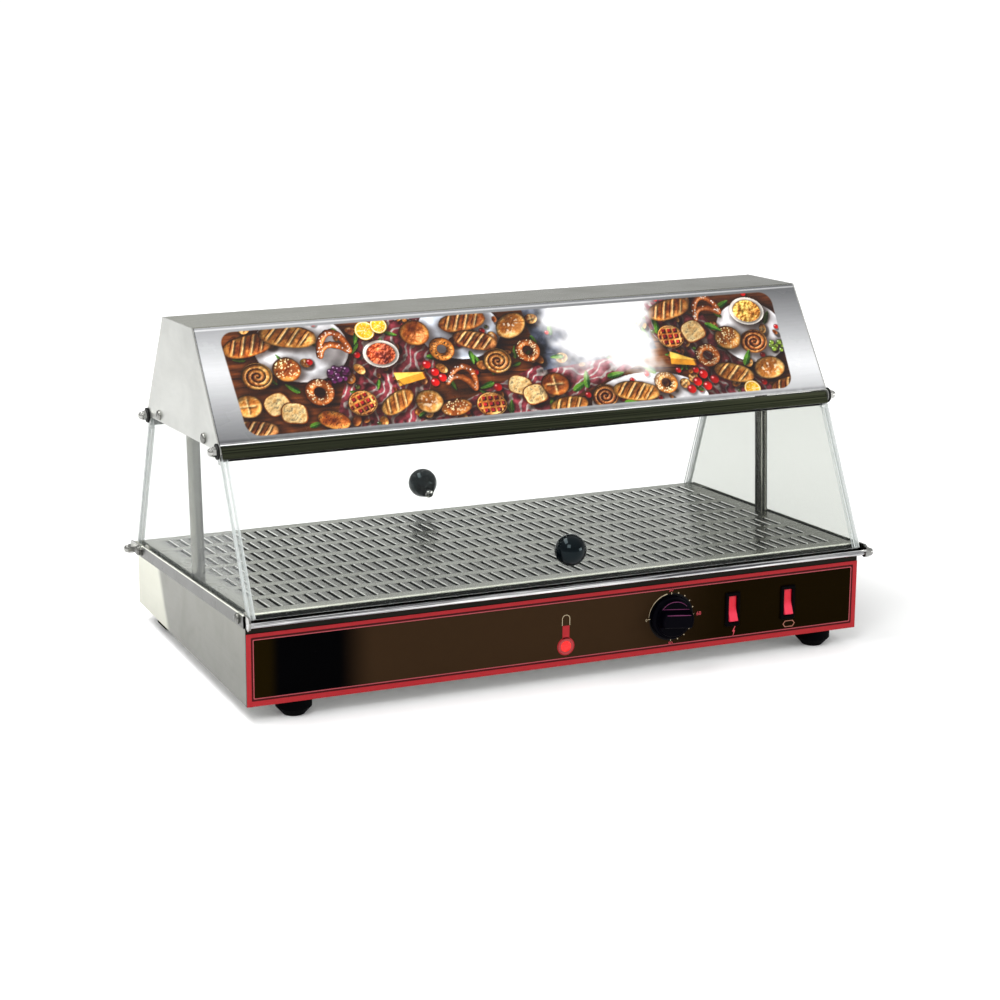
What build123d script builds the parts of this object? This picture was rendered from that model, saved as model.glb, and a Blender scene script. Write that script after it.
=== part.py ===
from build123d import *
import math
import os

os.makedirs("parts", exist_ok=True)

# ---------------------------------------------------------------------------
# Heated counter-top display case with two lift-up doors.
# Millimetres, +Z up, +X to the right seen from the control side, controls face -Y.
# The base is a plain box on four equal feet. Its top slopes down to the far side,
# so the deck, the panes and the hood all lean by TILT. They are drawn in an
# upright frame (deck top at z = 0, middle of the deck at y = 0) and then leaned.
# ---------------------------------------------------------------------------
TILT = 3.8            # lean of the deck towards the far side, degrees
FOOT_H = 16.0         # foot height under the base
FOOT_R, FOOT_TIP = 16.0, 9.5              # foot radius, and where it meets the table
FOOT_FRONT = [(-251.0, -149.0), (263.0, -149.0)]      # foot centres, as the photo shows them
FOOT_REAR = [(-277.0, 121.0), (277.0, 121.0)]
BASE_HX = 298.5       # half length of the base box
BASE_HY = 165.0       # half depth of the base box
SHEET = 1.2           # stainless sheet of the base and deck
PANEL_T = 1.5         # control side wall
OVERLAY_T = 0.8       # printed control overlay
OVERLAY_H = 65.1      # overlay height
DECK_Y0 = 0.8         # place of the deck frame in the upright frame of the base
DECK_Z0 = FOOT_H + 71.83
DECK_HX = 300.5       # half length over the deck's side lips
DECK_HY = 166.4       # half depth over the deck's front and rear lips
LIP = 12.2            # lip height
SLOT_W, SLOT_L = 3.6, 33.5
SLOT_PX, SLOT_PY = 10.94, 45.0
SLOT_NX, SLOT_NY = 51, 7
COL_X, COL_R, COL_T = 288.2, 6.0, 1.2     # the two tubes that carry the hood
HOOD_HX = 298.5       # half length over the hood's side plates
HOOD_T = 1.0
HOOD_TOP_Z, HOOD_TOP_HY = 229.3, 45.0
HOOD_BOT_Z, HOOD_BOT_HY = 135.7, 108.4
SIDE_BOT_Z = 130.1    # lower edge of the hood's side plates
FACADE_T = 1.2
HINGE_Y, HINGE_Z = 107.5, 130.4           # door pivot, in the leaned frame
PANE_RUN = 61.4       # how far the door pane leans out over HINGE_Z
PANE_T = 4.0          # acrylic door
PANE_HX = 297.0
PANE_S0, PANE_S1 = 4.0, 149.0             # door pane along its slope, from the pivot
RAIL_R, RAIL_L, RAIL_WALL = 4.4, 8.6, 1.1
RAIL_HX = 296.4
SIDE_PANE_T = 3.0
SIDE_PANE_X = 294.4   # inner face of the side panes
PIN_R, PIN_CLR = 2.0, 0.05
KNOB_S, KNOB_OFF, KNOB_R = 123.5, 15.45, 14.25   # ball knob: along the pane, off its face, radius
ROD_R, ROD_Y, ROD_Z = 2.5, 174.0, -8.6    # rest rod under the door's free edge
# controls on the panel: x, and height over the underside of the base
DIAL_X, DIAL_Z = 105.0, 33.2
SW1_X, SW2_X, SW_Z = 167.6, 225.2, 33.3
BEZEL_W, BEZEL_H = 15.0, 32.5
ROCKER_HX = 4.1       # half width of the rocker paddle
LAMP_X, LAMP_Z = 0.0, 18.1

alpha = math.atan2(PANE_RUN, HINGE_Z)
sa, ca = math.sin(alpha), math.cos(alpha)


# ------------------------------------------------------------------ helpers
def box(x0, x1, y0, y1, z0, z1):
    return Pos((x0 + x1) / 2, (y0 + y1) / 2, (z0 + z1) / 2) * Box(x1 - x0, y1 - y0, z1 - z0)


def cyl_x(x0, x1, y, z, r):
    return Pos((x0 + x1) / 2, y, z) * Rot(0, 90, 0) * Cylinder(r, x1 - x0)


def cyl_y(y0, y1, x, z, r):
    return Pos(x, (y0 + y1) / 2, z) * Rot(90, 0, 0) * Cylinder(r, y1 - y0)


def cyl_z(z0, z1, x, y, r):
    return Pos(x, y, (z0 + z1) / 2) * Cylinder(r, z1 - z0)


def prism_x(pts, x0, x1):
    """Polygon in the y-z plane, drawn out along X."""
    face = make_face(Polyline(*[(x0, y, z) for y, z in pts], close=True))
    return extrude(face, amount=x1 - x0, dir=(1, 0, 0))


def hex_x(x0, x1, y, z, af):
    r = af / math.sqrt(3)
    pts = [(y + r * math.cos(math.radians(60 * k + 30)), z + r * math.sin(math.radians(60 * k + 30))) for k in range(6)]
    return prism_x(pts, x0, x1)


def rev(profile, axis_loc):
    """Turned piece: (radius, height) profile about local Z, then placed."""
    face = make_face(Polyline(*[(r, 0, h) for r, h in profile], close=True))
    return axis_loc * revolve(face, Axis.Z, 360)


def lean(s):
    """From the upright deck frame to the leaned one."""
    return Location((0, DECK_Y0, DECK_Z0), (-TILT, 0, 0)) * s


def turn(s):
    """Half turn about the upright axis: front fitting to rear fitting."""
    return Rot(0, 0, 180) * s


nodes = {}


def keep(name, *solids):
    out = []
    for s in solids:
        out += list(s.solids())
    nodes[name] = out


# half space above the deck's underside, for cutting base walls and inner pieces
def under(z):
    """Everything below height z of the leaned frame."""
    return lean(box(-400, 400, -300, 300, -300, z))


# ------------------------------------------------------------------ base box
wall_top = under(-LIP)
shell = box(-BASE_HX, BASE_HX, -BASE_HY + PANEL_T, BASE_HY, FOOT_H, 130) - box(
    -BASE_HX + SHEET, BASE_HX - SHEET, -200, BASE_HY - SHEET, 0, 140)
GLAND_X, GLAND_Z = 215.0, FOOT_H + 24.0
shell -= cyl_y(150, 180, GLAND_X, GLAND_Z, 8.1)
for k in range(9):      # cooling slots in the rear wall
    shell -= box(-152 + 14 * k, -148 + 14 * k, 150, 180, FOOT_H + 12, FOOT_H + 36)
keep("base_shell", shell & wall_top)

bottom = box(-BASE_HX + SHEET, BASE_HX - SHEET, -BASE_HY + PANEL_T, BASE_HY - SHEET, FOOT_H, FOOT_H + SHEET)
# front and rear flanges that carry the walls' screws
bottom += box(-BASE_HX + SHEET, BASE_HX - SHEET, BASE_HY - 2 * SHEET, BASE_HY - SHEET, FOOT_H, FOOT_H + 10)
foot_at = FOOT_FRONT + FOOT_REAR
for fx, fy in foot_at:
    bottom -= cyl_z(FOOT_H - 5, FOOT_H + 5, fx, fy, 2.6)
for k in range(14):     # air slots under the element
    bottom -= box(-130 + 20 * k - 2, -130 + 20 * k + 2, -20, 20, FOOT_H - 1, FOOT_H + 4)
keep("bottom_plate", bottom)

feet, foot_screws = [], []
for fx, fy in foot_at:
    f = rev([(0, 0), (FOOT_TIP, 0), (FOOT_R, 7.2),(FOOT_R, FOOT_H - 0.8), (FOOT_R - 0.8, FOOT_H), (0, FOOT_H)], Pos(fx, fy, 0))
    f -= cyl_z(-1, 20, fx, fy, 2.5)
    f -= cyl_z(-1, 4.6, fx, fy, 5.5)
    feet.append(f)
    s = cyl_z(4.6, FOOT_H + 7, fx, fy, 2.5) + cyl_z(2.0, 4.6, fx, fy, 4.6)
    nut = Pos(fx, fy, FOOT_H + SHEET + 2) * extrude(RegularPolygon(4.62, 6), amount=2, both=True)
    s = s + nut
    foot_screws.append(s)
keep("feet", *feet)
keep("foot_screws", *foot_screws)

dial_c = (DIAL_X, FOOT_H + DIAL_Z)
panel = box(-BASE_HX, BASE_HX, -BASE_HY, -BASE_HY + PANEL_T, FOOT_H, 130) & wall_top
overlay = box(-BASE_HX, BASE_HX, -BASE_HY - OVERLAY_T, -BASE_HY, FOOT_H, FOOT_H + OVERLAY_H)
for s_ in (0, 1):
    cut = cyl_y(-180, -150, dial_c[0], dial_c[1], 5.2)
    for sx in (SW1_X, SW2_X):
        cut += box(sx - 6.6, sx + 6.6, -180, -150, FOOT_H + SW_Z - 13.6, FOOT_H + SW_Z + 13.6)
    cut += cyl_y(-180, -150, LAMP_X, FOOT_H + LAMP_Z, 6.1)
    if s_ == 0:
        panel -= cut
    else:
        overlay -= cut
keep("front_panel", panel)
keep("control_overlay", overlay)

# ------------------------------------------------------------------ controls
FACE = -BASE_HY - OVERLAY_T        # outer face of the overlay
# thermostat: body behind the panel, bush through it, turning shaft, knob
body = box(DIAL_X - 18, DIAL_X + 18, -BASE_HY + PANEL_T, -BASE_HY + PANEL_T + 24, dial_c[1] - 18, dial_c[1] + 18)
body += cyl_y(FACE - 1.2, -BASE_HY + PANEL_T, dial_c[0], dial_c[1], 5.0)
body += box(DIAL_X - 14, DIAL_X - 8, -BASE_HY + PANEL_T + 24, -BASE_HY + PANEL_T + 31, dial_c[1] - 4, dial_c[1] - 3.2)
body += box(DIAL_X + 8, DIAL_X + 14, -BASE_HY + PANEL_T + 24, -BASE_HY + PANEL_T + 31, dial_c[1] - 4, dial_c[1] - 3.2)
body -= cyl_y(FACE - 5, -BASE_HY + PANEL_T + 15, dial_c[0], dial_c[1], 3.0 + PIN_CLR)
keep("thermostat_body", body)
# the knob stands a little past its zero mark; its local +Z is world -Y, and the
# grip bar's own axis (local Y) lies along world X before the turn
KNOB_TURN = 5.5
place = Location((dial_c[0], FACE, dial_c[1])) * Rot(0, KNOB_TURN, 0) * Rot(90, 0, 0) * Rot(0, 0, 90)
shaft = Pos(0, 0, -16.3) * Cylinder(3.0, 28.3, align=(Align.CENTER, Align.CENTER, Align.MIN))
shaft -= box(-5, 5, 1.6, 5, 3.5, 20)
keep("thermostat_shaft", place * shaft)

# knob: low skirt, drum and a tapered grip bar; drawn with its axis along Z, outward up
KN = [(0, 1.6), (20.0, 1.6), (20.4, 2.0), (20.4, 3.0), (19.8, 3.8), (17.9, 4.3), (17.3, 4.7), (17.0, 6.8), (16.3, 7.5), (0, 7.5)]
knob = rev(KN, Location((0, 0, 0)))
grip_w0, grip_w1, grip_top = 8.6, 6.0, 16.4
grip = extrude(make_face(Polyline((-grip_w0, 0, 7.2), (grip_w0, 0, 7.2), (grip_w1 + 0.6, 0, grip_top - 0.8), (grip_w1 - 0.4, 0, grip_top),
                                  (-grip_w1 + 0.4, 0, grip_top), (-grip_w1 - 0.6, 0, grip_top - 0.8), close=True)), amount=20, dir=(0, 1, 0), both=True)
grip = grip & rev([(0, 6), (16.7, 6), (15.6, grip_top - 1.2), (14.8, grip_top), (0, grip_top)], Location((0, 0, 0)))
knob = knob + grip
knob -= Pos(0, 0, 1.6) * Cylinder(17.4, 1.4, align=(Align.CENTER, Align.CENTER, Align.MIN))
knob += Pos(0, 0, 1.6) * Cylinder(6.5, 4, align=(Align.CENTER, Align.CENTER, Align.MIN))
bore = Pos(0, 0, -1) * Cylinder(3.0, 13.05, align=(Align.CENTER, Align.CENTER, Align.MIN))
bore -= box(-5, 5, 1.6, 5, 3.5, 20)
knob -= bore
keep("thermostat_knob", place * knob)

# sensing bulb against the deck's underside between two rows of slots, in two saddles
BULB_Y, BULB_R = -22.5, 3.1
BULB_Z = -SHEET - BULB_R
bulb = cyl_x(-60, 35, BULB_Y, BULB_Z, BULB_R)
saddles = []
for x in (-48, 22):
    g = cyl_x(x - 4, x + 4, BULB_Y, BULB_Z, BULB_R + 0.8) + box(x - 4, x + 4, BULB_Y - BULB_R - 0.8, BULB_Y + BULB_R + 0.8, BULB_Z, -SHEET)
    g += box(x - 4, x + 4, BULB_Y - 5.4, BULB_Y + 5.4, -SHEET - 0.8, -SHEET)
    g -= cyl_x(x - 5, x + 5, BULB_Y, BULB_Z, BULB_R) + box(x - 5, x + 5, BULB_Y - BULB_R, BULB_Y + BULB_R, BULB_Z, 0)
    saddles += [lean(k) for k in g.solids()]
keep("thermostat_bulb", lean(bulb), *saddles)


def switch_body(cx):
    cz = FOOT_H + SW_Z
    w, h = BEZEL_W / 2, BEZEL_H / 2
    b = box(cx - w, cx + w, FACE - 2.2, FACE, cz - h, cz + h)
    b = fillet(b.edges().filter_by(Axis.Y), 1.6)
    b = chamfer(b.faces().sort_by(Axis.Y)[0].edges(), 0.9)
    b += box(cx - 6.5, cx + 6.5, FACE, -BASE_HY + PANEL_T + 19, cz - 13.5, cz + 13.5)
    # well in which the rocker tips
    b -= box(cx - ROCKER_HX - 0.4, cx + ROCKER_HX + 0.4, FACE - 3, FACE + 10.5, cz - 12.8, cz + 12.8)
    # trunnions
    b += cyl_x(cx - ROCKER_HX - 0.65, cx - ROCKER_HX + 0.95, FACE + 2.2, cz, 1.2)
    b += cyl_x(cx + ROCKER_HX - 0.95, cx + ROCKER_HX + 0.65, FACE + 2.2, cz, 1.2)
    for dz in (-8, 0, 8):
        b += box(cx - 3.1, cx + 3.1, -BASE_HY + PANEL_T + 19, -BASE_HY + PANEL_T + 27, cz + dz - 0.4, cz + dz + 0.4)
    return b


ROCK_SET = 12.0       # the rocker rests this far from level, top pressed in


def rocker(cx):
    """Rocker paddle about its pivot; outer face dished, upper half pressed in."""
    cz = FOOT_H + SW_Z
    pts = [(-4.6, 11.6), (-2.9, 3.6), (-2.3, 0), (-2.9, -3.6), (-4.6, -11.6), (-3.6, -12.0), (1.2, -11.0), (4.6, -3.5), (4.6, 3.5), (1.2, 11.0), (-3.6, 12.0)]
    p = prism_x([(y, z) for y, z in pts], -ROCKER_HX, ROCKER_HX)
    p -= cyl_x(-ROCKER_HX - 1, -ROCKER_HX + 1.05, 0, 0, 1.2 + PIN_CLR)
    p -= cyl_x(ROCKER_HX - 1.05, ROCKER_HX + 1, 0, 0, 1.2 + PIN_CLR)
    return Location((cx, FACE + 2.2, cz)) * Rot(-ROCK_SET, 0, 0) * p


for nm, cx in (("heat", SW1_X), ("light", SW2_X)):
    keep(nm + "_switch_body", switch_body(cx))
    keep(nm + "_switch_rocker", rocker(cx))

# indicator lamp in the bulb of the thermometer mark
ind = cyl_y(FACE - 0.6, FACE, LAMP_X, FOOT_H + LAMP_Z, 7.2) + cyl_y(FACE, -BASE_HY + PANEL_T + 16, LAMP_X, FOOT_H + LAMP_Z, 6.0)
lens_seat = cyl_y(FACE - 3, FACE + 3, LAMP_X, FOOT_H + LAMP_Z, 5.2)
keep("indicator_body", ind - lens_seat)
lens = Location((LAMP_X, FACE + 3, FOOT_H + LAMP_Z)) * Rot(90, 0, 0) * Cylinder(5.15, 4.0, align=(Align.CENTER, Align.CENTER, Align.MIN))
lens = fillet(lens.faces().sort_by(Axis.Y)[0].edges(), 0.9)
keep("indicator_lens", lens)

# ------------------------------------------------------------------ deck (leaned frame)
with BuildPart() as dp:
    with BuildSketch(Plane.XY.offset(-SHEET)):
        Rectangle(2 * 293.2, 2 * DECK_HY)
        with GridLocations(SLOT_PX, SLOT_PY, SLOT_NX, SLOT_NY):
            SlotOverall(SLOT_L, SLOT_W, rotation=90, mode=Mode.SUBTRACT)
    extrude(amount=SHEET)
deck = dp.part
# front and rear lips with a return that sits on the walls
for sy in (-1, 1):
    y0, y1 = sorted((sy * DECK_HY, sy * (DECK_HY - SHEET)))
    deck += box(-297.2, 297.2, y0, y1, -LIP, 0)
    y0, y1 = sorted((sy * (DECK_HY - SHEET), sy * (DECK_HY - 14)))
    deck += box(-293.2, 293.2, y0, y1, -LIP, -LIP + SHEET)
# side channels that hold the side panes
CH_IN = 293.2
for sx in (-1, 1):
    a = sorted((sx * CH_IN, sx * (CH_IN - SHEET)))
    deck += box(a[0], a[1], -DECK_HY + SHEET, DECK_HY - SHEET, -LIP, 0)
    a = sorted((sx * (CH_IN - SHEET), sx * DECK_HX))
    deck += box(a[0], a[1], -DECK_HY + SHEET, DECK_HY - SHEET, -LIP, -LIP + SHEET)
    a = sorted((sx * DECK_HX, sx * (DECK_HX - SHEET)))
    deck += box(a[0], a[1], -DECK_HY, DECK_HY, -LIP, 0)
    a = sorted((sx * 297.2, sx * DECK_HX))
    deck += box(a[0], a[1], -DECK_HY + SHEET, DECK_HY - SHEET, -LIP, -LIP + SHEET)
SCREW_Y, SCREW_Z = 151.0, -6.2       # deck screws of the side panes
HSCREW_Y, HSCREW_Z = 68.5, 136.0     # hood screws of the side panes
for sy in (-1, 1):
    deck -= cyl_x(-310, -285, sy * SCREW_Y, SCREW_Z, 2.6)
    deck -= cyl_x(285, 310, sy * SCREW_Y, SCREW_Z, 2.6)
for sx in (-1, 1):
    deck -= cyl_z(-LIP + SHEET, 5, sx * COL_X, 0, COL_R)
keep("deck_tray", lean(deck))

# brackets under the deck that hold the tubes, and their twins in the hood
deck_br, hood_br, cols = [], [], []
for sx in (-1, 1):
    xa, xb = sorted((sx * 291.9, sx * 262.0))
    b = box(xa, xb, -16, 16, -4.2, -SHEET)
    b -= cyl_z(-10, 5, sx * COL_X, 0, COL_R)
    deck_br.append(b)
    tube = cyl_z(-4.2, 157.0, sx * COL_X, 0, COL_R) - cyl_z(-10, 160, sx * COL_X, 0, COL_R - COL_T)
    cols.append(tube)
    xa, xb = sorted((sx * (HOOD_HX - HOOD_T), sx * 266.0))
    h = box(xa, xb, -16, 16, 151.0, 153.0)
    xc, xd = sorted((sx * (HOOD_HX - HOOD_T), sx * (HOOD_HX - HOOD_T - 2.0)))
    h += box(xc, xd, -16, 16, 151.0, 172.0)
    h -= cyl_z(140, 160, sx * COL_X, 0, COL_R)
    hood_br.append(h)
keep("column_brackets", *[lean(s) for s in deck_br + hood_br])
keep("left_column", lean(cols[0]))
keep("right_column", lean(cols[1]))

# ------------------------------------------------------------------ hood (leaned frame)
slope = math.atan2(HOOD_BOT_HY - HOOD_TOP_HY, HOOD_TOP_Z - HOOD_BOT_Z)
cs, sn = math.cos(slope), math.sin(slope)


def edge_y(z, inset=0.0):
    """Half depth of the hood's slanted face at height z, set in by inset."""
    return HOOD_TOP_HY + (HOOD_TOP_Z - z) * math.tan(slope) - inset / cs


def hood_ring(inset, t, ztop, zbot):
    """Roof and two slanted sides of sheet t, open below."""
    o = [(-edge_y(zbot, inset), zbot), (-edge_y(ztop, inset), ztop), (edge_y(ztop, inset), ztop), (edge_y(zbot, inset), zbot)]
    i = [(edge_y(zbot, inset + t), zbot), (edge_y(ztop - t, inset + t), ztop - t), (-edge_y(ztop - t, inset + t), ztop - t), (-edge_y(zbot, inset + t), zbot)]
    return o + i


XH = HOOD_HX - HOOD_T
hood = prism_x(hood_ring(FACADE_T, HOOD_T, HOOD_TOP_Z, HOOD_BOT_Z), -XH, XH)
keep("hood_shell", lean(hood))

# facade sheets: from a hem just under the roof edge down to a turned-in lower edge
fz0, fz1 = HOOD_BOT_Z, HOOD_TOP_Z - 0.4
fac = prism_x([(-edge_y(fz0), fz0), (-edge_y(fz1), fz1), (-edge_y(fz1, FACADE_T), fz1), (-edge_y(fz0, FACADE_T), fz0)], -XH, XH)
keep("front_facade", lean(fac))
keep("rear_facade", lean(turn(fac)))


def side_plate(sx):
    pts = [(-edge_y(HOOD_BOT_Z), HOOD_BOT_Z), (-HOOD_TOP_HY, HOOD_TOP_Z), (HOOD_TOP_HY, HOOD_TOP_Z), (edge_y(HOOD_BOT_Z), HOOD_BOT_Z),
           (HOOD_BOT_HY, SIDE_BOT_Z), (-HOOD_BOT_HY, SIDE_BOT_Z)]
    xa, xb = sorted((sx * HOOD_HX, sx * XH))
    p = prism_x(pts, xa, xb)
    for sy in (-1, 1):
        p += cyl_x(xa, xb, sy * HINGE_Y, HINGE_Z, 6.0)
        p -= cyl_x(xa - 1, xb + 1, sy * HINGE_Y, HINGE_Z, PIN_R)
        p -= cyl_x(xa - 1, xb + 1, sy * HSCREW_Y, HSCREW_Z, 2.6)
    return p


keep("hood_side_left", lean(side_plate(-1)))
keep("hood_side_right", lean(side_plate(1)))

# hood floor with a window, its diffuser, and the lamp above it
FL_Z0, FL_Z1, FL_Y = 144.5, 145.5, 95.6
floor = box(-XH, XH, -FL_Y, FL_Y, FL_Z0, FL_Z1) - box(-225, 225, -32, 32, 100, 160)
for sx in (-1, 1):
    floor -= cyl_z(130, 160, sx * COL_X, 0, COL_R)
# upturned long edges that reach the slanted sheets
for sy in (-1, 1):
    y0, y1 = sorted((sy * (FL_Y - 1), sy * FL_Y))
    floor += box(-XH, XH, y0, y1, FL_Z0, FL_Z1 + 5)
keep("hood_floor", lean(floor))
diff = box(-232, 232, -38, 38, FL_Z1, FL_Z1 + 2.5)
keep("lamp_diffuser", lean(diff))
LZ = 172.0
tube = cyl_x(-208, 208, 0, LZ, 8.0) - cyl_x(-206, 206, 0, LZ, 7.2)
tube += cyl_x(-216, -206, 0, LZ, 8.2) + cyl_x(206, 216, 0, LZ, 8.2)
keep("lamp_tube", lean(tube))
lh = []
for sx in (-1, 1):
    xa, xb = sorted((sx * 216.0, sx * 226.0))
    lh.append(lean(box(xa, xb, -9, 9, LZ - 11, LZ + 14.0)))
keep("lamp_holders", *lh)
rz = LZ + 14.0
refl = prism_x([(-34, rz - 16), (-16, rz), (16, rz), (34, rz - 16), (34, rz - 15), (16.4, rz + 1), (-16.4, rz + 1), (-34, rz - 15)], -236, 236)
# two box hangers welded to the reflector carry it under the roof
for x in (-120, 120):
    refl += (box(x - 10, x + 10, -10, 10, rz + 0.5, HOOD_TOP_Z - HOOD_T)
             - box(x - 8.5, x + 8.5, -11, 11, rz + 2.5, HOOD_TOP_Z - HOOD_T - 1.5))
keep("lamp_reflector", lean(refl))

# ------------------------------------------------------------------ side panes
mid_y = lambda z: HINGE_Y + (HINGE_Z - z) * PANE_RUN / HINGE_Z      # door pane's middle plane
edge = lambda z: mid_y(z) - 3.0 / ca                                # side pane's slanted edge
ZB = -10.8
y_low = DECK_HY - SHEET - 0.4
z_meet = HINGE_Z - (y_low + 3.0 / ca - HINGE_Y) * HINGE_Z / PANE_RUN
z_step, y_step, z_up = 118.2, 102.2, 143.6


def side_pane(sx):
    half = [(y_low, ZB), (y_low, z_meet), (edge(z_step), z_step), (y_step, z_step), (y_step, HOOD_BOT_Z - 1.0), (93.5, z_up)]
    pts = half + [(-y, z) for y, z in reversed(half)]
    xa, xb = sorted((sx * SIDE_PANE_X, sx * (SIDE_PANE_X + SIDE_PANE_T)))
    p = prism_x(pts, xa, xb)
    for sy in (-1, 1):
        p -= cyl_x(xa - 1, xb + 1, sy * SCREW_Y, SCREW_Z, 2.6)
        p -= cyl_x(xa - 1, xb + 1, sy * HSCREW_Y, HSCREW_Z, 2.6)
    return p


keep("left_side_pane", lean(side_pane(-1)))
keep("right_side_pane", lean(side_pane(1)))

# screws (pan head, one slot), nuts and spacers of the side panes
screws, nuts, spacers = [], [], []


def pan_screw(sx, xo, y, z, tip):
    """Pan-head screw along X: head outside xo, shank to tip."""
    h = rev([(0, 0), (4.75, 0), (4.75, 0.9), (4.2, 1.9), (3.0, 2.6), (1.5, 2.9), (0, 3.0)], Location((0, 0, 0)))
    h -= box(-0.6, 0.6, -6, 6, 1.6, 4)
    s = h + Cylinder(2.5, abs(xo - tip), align=(Align.CENTER, Align.CENTER, Align.MAX))
    # slot stands upright, as photographed
    return Location((xo, y, z)) * (Rot(0, 90, 0) if sx > 0 else Rot(0, -90, 0)) * Rot(0, 0, 90) * s


def nut_x(x0, x1, y, z):
    n = hex_x(x0, x1, y, z, 8.0)
    n -= cyl_x(x0 - 1, x1 + 1, y, z, 2.5)
    return n


for sx in (-1, 1):
    for sy in (-1, 1):
        # deck screws: through lip, spacer, pane and channel wall
        screws.append(pan_screw(sx, sx * DECK_HX, sy * SCREW_Y, SCREW_Z, sx * 285.0))
        a = sorted((sx * (CH_IN - SHEET), sx * (CH_IN - SHEET - 4.0)))
        nuts.append(nut_x(a[0], a[1], sy * SCREW_Y, SCREW_Z))
        a = sorted((sx * CH_IN, sx * SIDE_PANE_X))
        spacers.append(cyl_x(a[0], a[1], sy * SCREW_Y, SCREW_Z, 4.4) - cyl_x(a[0] - 1, a[1] + 1, sy * SCREW_Y, SCREW_Z, 2.5))
        # hood screws
        screws.append(pan_screw(sx, sx * HOOD_HX, sy * HSCREW_Y, HSCREW_Z, sx * 287.5))
        a = sorted((sx * SIDE_PANE_X, sx * (SIDE_PANE_X - 4.0)))
        nuts.append(nut_x(a[0], a[1], sy * HSCREW_Y, HSCREW_Z))
        a = sorted((sx * XH, sx * (SIDE_PANE_X + SIDE_PANE_T)))
        spacers.append(cyl_x(a[0], a[1], sy * HSCREW_Y, HSCREW_Z, 4.4) - cyl_x(a[0] - 1, a[1] + 1, sy * HSCREW_Y, HSCREW_Z, 2.5))

# rest rods and their brackets
inner_br = [(-1, -1), (1, 1)]      # short bracket inside the lip: front left, rear right
outer_br = [(1, -1), (-1, 1)]      # outside the lip with the cap nut: front right, rear left
brackets = []


def lug(xa, xb, sy, rear_len):
    """Strap along Y with round ends, from the deck screw to the rod."""
    z0, z1 = -11.0, -0.6
    zc = (z0 + z1) / 2
    b = box(xa, xb, min(sy * (SCREW_Y - rear_len), sy * (ROD_Y)), max(sy * (SCREW_Y - rear_len), sy * (ROD_Y)), z0, z1)
    b += cyl_x(xa, xb, sy * ROD_Y, zc, (z1 - z0) / 2)
    b += cyl_x(xa, xb, sy * (SCREW_Y - rear_len), zc, (z1 - z0) / 2)
    b += cyl_x(xa, xb, sy * ROD_Y, ROD_Z, 4.4)
    b -= cyl_x(xa - 1, xb + 1, sy * ROD_Y, ROD_Z, ROD_R)
    b -= cyl_x(xa - 1, xb + 1, sy * SCREW_Y, SCREW_Z, 2.5)
    return b


for sx, sy in outer_br:
    xa, xb = sorted((sx * DECK_HX, sx * (DECK_HX + 1.5)))
    brackets.append(lug(xa, xb, sy, 3.0))
for sx, sy in inner_br:
    xa, xb = sorted((sx * (SIDE_PANE_X + SIDE_PANE_T + 0.1), sx * (DECK_HX - SHEET)))
    brackets.append(lug(xa, xb, sy, 3.0))
for sx, sy in outer_br:            # spacer where no inner bracket sits
    a = sorted((sx * (SIDE_PANE_X + SIDE_PANE_T), sx * (DECK_HX - SHEET)))
    spacers.append(cyl_x(a[0], a[1], sy * SCREW_Y, SCREW_Z, 4.4) - cyl_x(a[0] - 1, a[1] + 1, sy * SCREW_Y, SCREW_Z, 2.5))
# the screws at the outer brackets stand on the bracket
for i, s in enumerate(list(screws)):
    c = s.center()
    for sx, sy in outer_br:
        if c.Z < 20 and c.X * sx > 0 and c.Y * sy > 0:
            screws[i] = pan_screw(sx, sx * (DECK_HX + 1.5), sy * SCREW_Y, SCREW_Z, sx * 285.0)
keep("pane_screws", *[lean(s) for s in screws])
keep("pane_nuts", *[lean(s) for s in nuts])
keep("pane_spacers", *[lean(s) for s in spacers])
keep("rod_brackets", *[lean(s) for s in brackets])


def acorn(sx, x0, y, z):
    """Cap nut, hexagon then dome, opening towards the object."""
    n = extrude(RegularPolygon(4.62, 6), amount=3.6)
    n += rev([(0, 3.4), (3.85, 3.4), (3.85, 4.6), (3.6, 5.8), (2.9, 6.9), (1.8, 7.7), (0, 8.0)], Location((0, 0, 0)))
    return Location((x0, y, z)) * (Rot(0, 90, 0) if sx > 0 else Rot(0, -90, 0)) * n


front_rod = cyl_x(-(DECK_HX - SHEET), DECK_HX + 1.5, -ROD_Y, ROD_Z, ROD_R)
front_rod += cyl_x(DECK_HX + 1.5, DECK_HX + 7.0, -ROD_Y, ROD_Z, 2.0)
cap = acorn(1, DECK_HX + 1.5, -ROD_Y, ROD_Z) - cyl_x(300, DECK_HX + 7.0, -ROD_Y, ROD_Z, 2.0)
keep("front_rest_rod", lean(front_rod))
keep("rear_rest_rod", lean(turn(front_rod)))
keep("rod_cap_nuts", lean(cap), lean(turn(cap)))

# ------------------------------------------------------------------ door pivots on the hood
pins, washers, caps = [], [], []
for sx in (-1, 1):
    for sy in (-1, 1):
        y = sy * HINGE_Y
        a = sorted((sx * (HOOD_HX + 7.0), sx * 284.0))
        pins.append(cyl_x(a[0], a[1], y, HINGE_Z, PIN_R))
        a = sorted((sx * HOOD_HX, sx * (HOOD_HX + 1.5)))
        washers.append(cyl_x(a[0], a[1], y, HINGE_Z, 7.0) - cyl_x(a[0] - 1, a[1] + 1, y, HINGE_Z, PIN_R))
        c = acorn(sx, sx * (HOOD_HX + 1.5), y, HINGE_Z)
        c -= cyl_x(min(sx * 298, sx * (HOOD_HX + 7.0)), max(sx * 298, sx * (HOOD_HX + 7.0)), y, HINGE_Z, PIN_R)
        caps.append(c)
keep("hinge_pins", *[lean(s) for s in pins])
keep("hinge_washers", *[lean(s) for s in washers])
keep("hinge_cap_nuts", *[lean(s) for s in caps])


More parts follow.
